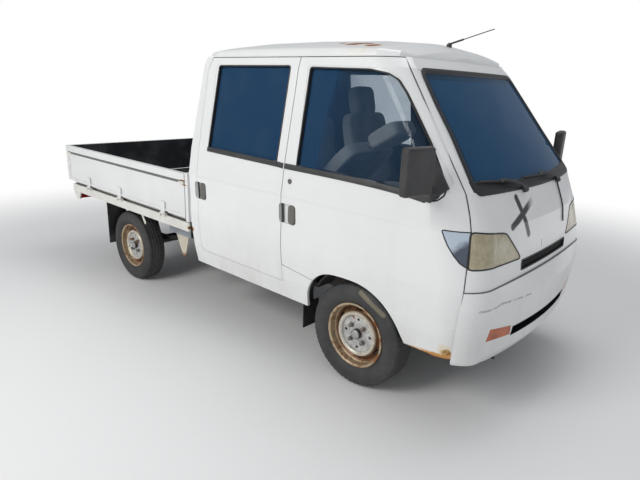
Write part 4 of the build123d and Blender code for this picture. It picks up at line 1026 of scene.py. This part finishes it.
class TRUCK_OT_front(bpy.types.Operator):
    """Louvres and rim of the grille slot, slats of the lower intake, and the gaskets of the lamps"""

    bl_idname = "truck.front"
    bl_label = "Grille and lamps"

    def execute(self, context):
        self.slats("grille_louvres", cab, 0.300, (0.7185, 0.7300, 0.7415, 0.7530, 0.7595), -0.020,
                   ellipse(0.0022, 0.013, 8, 0.5), (0.710, 0.767), (-0.036, -0.042))
        rim = rounded([(-0.295, 0.714), (0.295, 0.714), (0.295, 0.763), (-0.295, 0.763)], 0.012, 0.01)
        profile = [(0.003, 0.0), (0.002, 0.003), (-0.004, 0.002), (-0.005, -0.020), (0.0, -0.020)]
        piece("grille_rim", front_strip(counter_clockwise(rim), profile), "rubber", "truck")
        self.slats("intake_slats", bumper_skin, 0.352, (0.404, 0.413, 0.422, 0.431, 0.440, 0.448), -0.045,
                   ellipse(0.0016, 0.006, 6), (0.398, 0.454), (-0.062, -0.066))
        lamp = counter_clockwise(rounded(mm([(650, 940), (430, 910), (310, 776), (683, 783)]), 0.020, 0.008))
        gasket = front_strip(lamp, [(-0.004, 0.0), (-0.002, 0.0018), (0.003, 0.0018), (0.004, -0.004)])
        pair("headlamp_gasket", gasket, "rubber")
        corner = mm([(-541, 939), (-444, 944), (-457, 916), (-475, 882), (-503, 843), (-532, 811), (-556, 794)])
        profile = [(0.0025, 0.0), (0.0015, 0.0016), (-0.0015, 0.0016), (-0.0025, 0.0)]
        edge = side_strip(rounded(corner, 0.006, 0.006, closed=False), profile, closed=False)
        pair("corner_lamp_gasket", edge, "rubber", "front_door")
        return {"FINISHED"}

    def slats(self, name, skin, half, heights, depth, section, span, behind):
        """Slats across a slot, each at a depth below the skin, and a plate over the span behind them."""
        x = np.linspace(-half, half, 61)
        low, high = span
        near, far = behind
        shapes = [sweep(skin.front(x, z, depth), section, (0, -1, 0)) for z in heights]
        corners = ((low, near), (high, near), (high, far), (low, far))
        plate = [skin.front(x, z, out) for z, out in corners]
        shapes.append((np.stack(plate, 1).reshape(-1, 3), tube(len(x), len(plate))))
        piece(name, join(*shapes), "dark", "truck")


class TRUCK_OT_handles(bpy.types.Operator):
    """Pull levers in the door cups, and the round locks"""

    bl_idname = "truck.handles"
    bl_label = "Door levers"

    def execute(self, context):
        for name, y0, y1 in (("front", 0.414, 0.470), ("rear", 1.209, 1.268)):
            middle, half = (y0 + y1) / 2, (y1 - y0) / 2
            points, faces = pebble((0, 0, 0), (0.011, half, 0.051), 0.45, 14, 28)
            outer = points[:, 0] > 0
            points[:, 0] += outer * (1 - (points[:, 1] / half) ** 2) * 0.004
            lever = moved((points, faces), cab.side([middle], [0.836], -0.006)[0])
            pair(name + "_door_lever", lever, "lever", name + "_door")
        profile = [
            (-0.004, 0.014), (0.003, 0.014), (0.0045, 0.0125), (0.0045, 0.009), (0.003, 0.008), (0.003, 0.002),
        ]
        lock = lathe(profile, 28, cab.side([0.467], [1.014])[0])
        pair("door_lock", lock, "lever", "front_door")
        return {"FINISHED"}


class TRUCK_OT_wheels(bpy.types.Operator):
    """Treaded tyres, wheel nuts and hub caps"""

    bl_idname = "truck.wheels"
    bl_label = "Tyres and nuts"

    def execute(self, context):
        sizes = context.scene.truck_sizes
        axles = (("front", FRONT_X, 0.0, AXLE_Z), ("rear", REAR_X, REAR_Y, REAR_Z))
        profile = [
            (-0.006, 0.0135), (0.000, 0.0135), (0.001, sizes.nut), (0.016, sizes.nut), (0.019, sizes.nut * 0.7),
            (0.021, 0.003),
        ]
        angles = [math.radians(90 * k + 45) for k in range(4)]
        nuts = join(*(lathe(profile, 6, (0.0335, 0.055 * math.cos(t), 0.055 * math.sin(t))) for t in angles))
        cap = lathe([(0.046, 0.0255), (0.052, 0.0245), (0.055, 0.020), (0.0565, 0.012), (0.057, 0.003)], 36)
        for (axle, x, y, z), (side, sign) in itertools.product(axles, SIDES):
            name = f"{axle}_{side}"
            body = "wheel_" + name
            centre = np.array((x * sign, y, z))
            tyre = moved(self.tyre(sizes.tread), centre)
            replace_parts(piece("worn_tyre_" + name, tyre, "tyre", body, 60.0), "tyre_" + name)
            piece("wheel_nuts_" + name, moved(mirrored(nuts, sign), centre), "nut", body)
            piece("hub_cap_" + name, moved(mirrored(cap, sign), centre), "steel", body)
        return {"FINISHED"}

    def tyre(self, tread):
        """Ring by angle and by place along the section; the radius falls by the tread's depth in
        four grooves round the tyre and in short slots between them that step with the angle."""
        section = np.array([
            (-54.7, 167.3), (-56.5, 176), (-63, 184), (-72, 198), (-78, 214), (-79, 228), (-76.5, 243),
            (-71, 257), (-68.5, 264), (-64, 270.5), (-56, 275.0), (-46, 276.6), (-30, 277.6), (-15, 277.9),
            (0, 278.0),
        ])
        half = smooth_line(section, 1.0)
        s = np.concatenate([half, (half * (-1, 1))[::-1][1:]])
        s = s[np.unique(np.linspace(0, len(s) - 1, 96).round().astype(int))] / 1000
        count = 240
        t = np.linspace(0, 2 * math.pi, count, endpoint=False)[:, None]
        x, r = s[None, :, 0], s[None, :, 1]
        on_tread = np.clip((r - 0.262) / 0.008, 0, 1)
        grooves = sum(np.exp(-((x - g) / 0.0032) ** 2) for g in (-0.036, -0.012, 0.012, 0.036))
        slots = (np.sin(t * 60 + x / 0.055 * 3.0) > 0.55) * (abs(x) > 0.018)
        r_cut = r - tread * np.clip(grooves + slots * 0.8, 0, 1) * on_tread
        rib = 0.0012 * np.exp(-((r - 0.246) / 0.003) ** 2) + 0.0008 * np.exp(-((r - 0.200) / 0.002) ** 2)
        points = np.stack(np.broadcast_arrays(x + np.sign(x) * rib, r_cut * np.cos(t), r_cut * np.sin(t)), 2)
        return points.reshape(-1, 3), tube(count, len(s), True)


class TRUCK_OT_bed(bpy.types.Operator):
    """Grey strips in the gates' grooves as painted shade of the recess, their latches and hinges, and the
    mudguards' stays
    """

    bl_idname = "truck.bed"
    bl_label = "Bed fittings"

    def execute(self, context):
        # Grey strip along each gate's groove: painted shade of the recess
        y = np.linspace(1.442, BED_Y1 - 0.044, 160)
        path = np.stack([np.full_like(y, HALF), y, np.full_like(y, 0.8645)], 1)
        profile = [(-0.0095, -0.008), (0.0095, -0.008), (0.0090, 0.0008), (-0.0090, 0.0008)]
        pair("gate_groove_shade_strip", sweep(path, profile, (1, 0, 0)), "groove_shade", "bed_gate")
        latches = []
        for y in (1.470, BED_Y1 - 0.075):
            latches.append(pebble((0.7425, y, 0.858), (0.004, 0.030, 0.010), 0.4))
            latches.append(pebble((0.7465, y + 0.008, 0.861), (0.003, 0.014, 0.005), 0.5))
        pair("gate_latches", join(*latches), "cream", "bed_gate")
        size = (0.0035, 0.026, 0.0075)
        hinges = [pebble((0.7405, y, 0.619), size, 0.5, 8, 16) for y in (1.670, 2.304, 2.819)]
        pair("gate_hinges", join(*hinges), "under", "bed_gate")
        stays = []
        for ya, za, yb, zb in ((2.621, 0.528, 2.653, 0.443), (2.086, 0.528, 2.032, 0.454)):
            line = smooth_line([(0.700, ya, za), (0.700, yb, zb)], 0.01)
            stays.append(sweep(line, ellipse(0.012, 0.0025, 8, 0.4), (1, 0, 0)))
        pair("mudguard_stays", join(*stays), "cream")
        return {"FINISHED"}


def crowned(size, crown, power, nu=40, nv=56):
    """Cushion form: a rounded block whose broad faces swell by the product of two cosines."""
    points, faces = pebble((0, 0, 0), size, power, nu, nv)
    u, v, w = (points[:, k] / size[k] for k in range(3))
    swell = np.clip(1 - u ** 2, 0, 1) * np.clip(1 - v ** 2, 0, 1)
    points[:, 2] += np.sign(w) * swell * crown
    pull = 1 - 0.035 * (1 - abs(w)) * (np.cos(u * math.pi * 0.5) + np.cos(v * math.pi * 0.5))
    points[:, :2] *= pull[:, None]
    return points, faces


def sewn(size, crown, power, places, nv=56):
    """Crowned form with channels: its top falls by 10 mm on lines at the given parts of the width."""
    points, faces = crowned(size, crown, power, 40, nv)
    top = np.clip(points[:, 2] / size[2], 0, 1)
    for place in places:
        points[:, 2] -= 0.010 * top * np.exp(-((points[:, 0] - place * size[0]) / 0.008) ** 2)
    return points, faces


class TRUCK_OT_seats(bpy.types.Operator):
    """Padded front seats and rear bench in woven cloth"""

    bl_idname = "truck.seats"
    bl_label = "Seats"

    def execute(self, context):
        made, posts = [], []
        # Columns: side, sign, middles (y, z) and lean of the back, the head restraint and its posts
        seats = (
            ("left", 1.0, (0.760, 1.090, -12.0), (0.832, 1.410, -12.0), (0.812, 1.320, -12.0)),
            ("right", -1.0, (0.403, 1.022, 44.0), (0.110, 1.272, 60.0), (0.215, 1.212, 55.0)),
        )
        seams = (-0.45, 0.45)
        cushion = sewn((0.215, 0.225, 0.052), 0.014, 0.30, seams)
        back = turned(sewn((0.214, 0.254, 0.044), 0.010, 0.30, seams), 90)
        head = turned(crowned((0.112, 0.102, 0.044), 0.006, 0.45), 90)
        for side, sign, back_at, head_at, post_at in seats:
            x = 0.330 * sign
            made.append((f"front_cushion_{side}", moved(cushion, (x, 0.480, 0.806))))
            made.append((f"front_back_{side}", moved(turned(back, back_at[2]), (x, *back_at[:2]))))
            made.append((f"head_restraint_{side}", moved(turned(head, head_at[2]), (x, *head_at[:2]))))
            lean = math.radians(post_at[2])
            ry, rz = -0.09 * math.sin(lean), 0.09 * math.cos(lean)
            for dx in (-0.045, 0.045):
                ends = [(x + dx, post_at[0] + s * ry, post_at[1] + s * rz) for s in (-1, 1)]
                posts.append(sweep(smooth_line(ends, 0.03), ellipse(0.006, 0.006, 12), (1, 0, 0)))
        piece("head_restraint_posts", join(*posts), "steel", "truck")
        seams = (-0.34, 0.34)
        bench = sewn((0.545, 0.130, 0.052), 0.014, 0.22, seams, 96)
        made.append(("rear_cushion", moved(bench, (0, 1.100, 0.782))))
        back = turned(turned(sewn((0.545, 0.225, 0.036), 0.008, 0.22, seams, 96), 90), -8.0)
        made.append(("rear_back", moved(back, (0, 1.262, 1.060))))
        for name, shape in made:
            pad = piece(name, shape, "cloth", "truck", 60.0)
            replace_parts(pad, "rear_bench" if name.startswith("rear") else "front_seats")
        box = pebble((0, 1.115, 0.598), (0.538, 0.112, 0.126), 0.12, 12, 40)
        piece("bench_box", box, "dash", "truck")
        return {"FINISHED"}


class TRUCK_OT_stage(bpy.types.Operator):
    """Floor, backdrop, lights and the camera at the photograph's angle"""

    bl_idname = "truck.stage"
    bl_label = "Stage"

    def execute(self, context):
        scene = context.scene
        n = 24
        x = np.linspace(-14, 14, n)
        gx, gy = np.meshgrid(x, x, indexing="ij")
        mesh = bpy.data.meshes.new("pale_floor")
        points = np.stack([gx, gy, np.zeros_like(gx)], 2).reshape(-1, 3)
        mesh.from_pydata(points.tolist(), [], quads(n, n))
        floor = bpy.data.objects.new("pale_floor", mesh)
        scene.collection.objects.link(floor)
        f = Finish("pale_studio_floor")
        shade = f.mix(f.noise(0.6, 2.0), (0.84, 0.84, 0.84), (0.86, 0.86, 0.86))
        near = f.surface(Base_Color=shade, Roughness=f.noise(3.0) * 0.1 + 0.65)
        far = f.node("ShaderNodeEmission", {}, {"Color": (1.0, 1.0, 1.0, 1.0), "Strength": 1.0})
        reach = f.y - MIDDLE_Y
        share = ((f.x * f.x + reach * reach) ** 0.5).over(2.6, 6.0)
        mesh.materials.append(f.done(f.node("ShaderNodeMixShader", {}, {0: share, 1: near, 2: far})))
        world = bpy.data.worlds.new("soft_studio")
        scene.world = world
        world.use_nodes = True
        tree = world.node_tree
        tree.nodes.clear()
        end = tree.nodes.new("ShaderNodeOutputWorld")
        ray = tree.nodes.new("ShaderNodeLightPath")
        white = tree.nodes.new("ShaderNodeBackground")
        white.inputs["Color"].default_value = (1, 1, 1, 1)
        soft = tree.nodes.new("ShaderNodeBackground")
        soft.inputs["Color"].default_value = (0.93, 0.96, 1.0, 1)
        soft.inputs["Strength"].default_value = 0.42
        mix = tree.nodes.new("ShaderNodeMixShader")
        tree.links.new(ray.outputs["Is Camera Ray"], mix.inputs[0])
        tree.links.new(soft.outputs[0], mix.inputs[1])
        tree.links.new(white.outputs[0], mix.inputs[2])
        tree.links.new(mix.outputs[0], end.inputs[0])
        self.light("key_light", (-5.2, 0.1, 3.6), 2.4, 152, (1.0, 0.985, 0.96))
        self.light("fill_light", (-3.0, -5.6, 3.0), 3.0, 8, (0.95, 0.97, 1.0))
        self.light("top_light", (1.2, -0.8, 5.6), 3.0, 80, (1.0, 1.0, 1.0))
        camera = bpy.data.cameras.new("photo_camera")
        camera.sensor_width = SENSOR
        camera.lens = FOCAL_PIXELS / PHOTO_WIDTH * SENSOR
        camera.clip_start = 0.05
        eye = bpy.data.objects.new("photo_camera", camera)
        scene.collection.objects.link(eye)
        yaw, pitch, roll = (math.radians(v) for v in EYE_TURN)
        ahead = np.array([math.cos(pitch) * math.sin(yaw), math.cos(pitch) * math.cos(yaw), math.sin(pitch)])
        right = np.array([math.cos(yaw), -math.sin(yaw), 0.0])
        up = np.cross(right, ahead)
        r = math.cos(roll) * right + math.sin(roll) * up
        u = -math.sin(roll) * right + math.cos(roll) * up
        matrix = np.eye(4)
        matrix[:3] = np.stack([r, u, -ahead, EYE], 1)
        eye.matrix_world = Matrix(matrix.tolist())
        scene.camera = eye
        scene.view_settings.view_transform = "Standard"
        return {"FINISHED"}

    def light(self, name, where, size, power, colour):
        """Square area lamp aimed at the middle of the truck."""
        data = bpy.data.lights.new(name, "AREA")
        data.size, data.energy, data.color = size, power, colour
        lamp = bpy.data.objects.new(name, data)
        bpy.context.scene.collection.objects.link(lamp)
        lamp.location = where
        way = Vector(LAMPS_AIM) - Vector(where)
        lamp.rotation_euler = way.to_track_quat("-Z", "Y").to_euler()


OPERATORS = (
    TRUCK_OT_materials, TRUCK_OT_stage, TRUCK_OT_seals, TRUCK_OT_screen, TRUCK_OT_wipers, TRUCK_OT_front,
    TRUCK_OT_handles, TRUCK_OT_wheels, TRUCK_OT_bed, TRUCK_OT_seats,
)


class TRUCK_PT_panel(bpy.types.Panel):
    """Lists the truck's pieces and their settings"""

    bl_label = "Mini Truck"
    bl_idname = "TRUCK_PT_panel"
    bl_space_type = "VIEW_3D"
    bl_region_type = "UI"
    bl_category = "Truck"

    def draw(self, context):
        for group in (context.scene.truck_colours, context.scene.truck_sizes):
            for key in group.bl_rna.properties.keys():
                if key not in ("rna_type", "name"):
                    self.layout.prop(group, key)
        for operator in OPERATORS:
            self.layout.operator(operator.bl_idname)


CLASSES = (TruckColours, TruckSizes, *OPERATORS, TRUCK_PT_panel)


def register():
    for cls in CLASSES:
        bpy.utils.register_class(cls)
    bpy.types.Scene.truck_colours = bpy.props.PointerProperty(type=TruckColours)
    bpy.types.Scene.truck_sizes = bpy.props.PointerProperty(type=TruckSizes)


def unregister():
    del bpy.types.Scene.truck_sizes
    del bpy.types.Scene.truck_colours
    for cls in reversed(CLASSES):
        bpy.utils.unregister_class(cls)


def main():
    register()
    for operator in OPERATORS:
        group, name = operator.bl_idname.split(".")
        getattr(getattr(bpy.ops, group), name)()


if __name__ == "__main__":
    main()
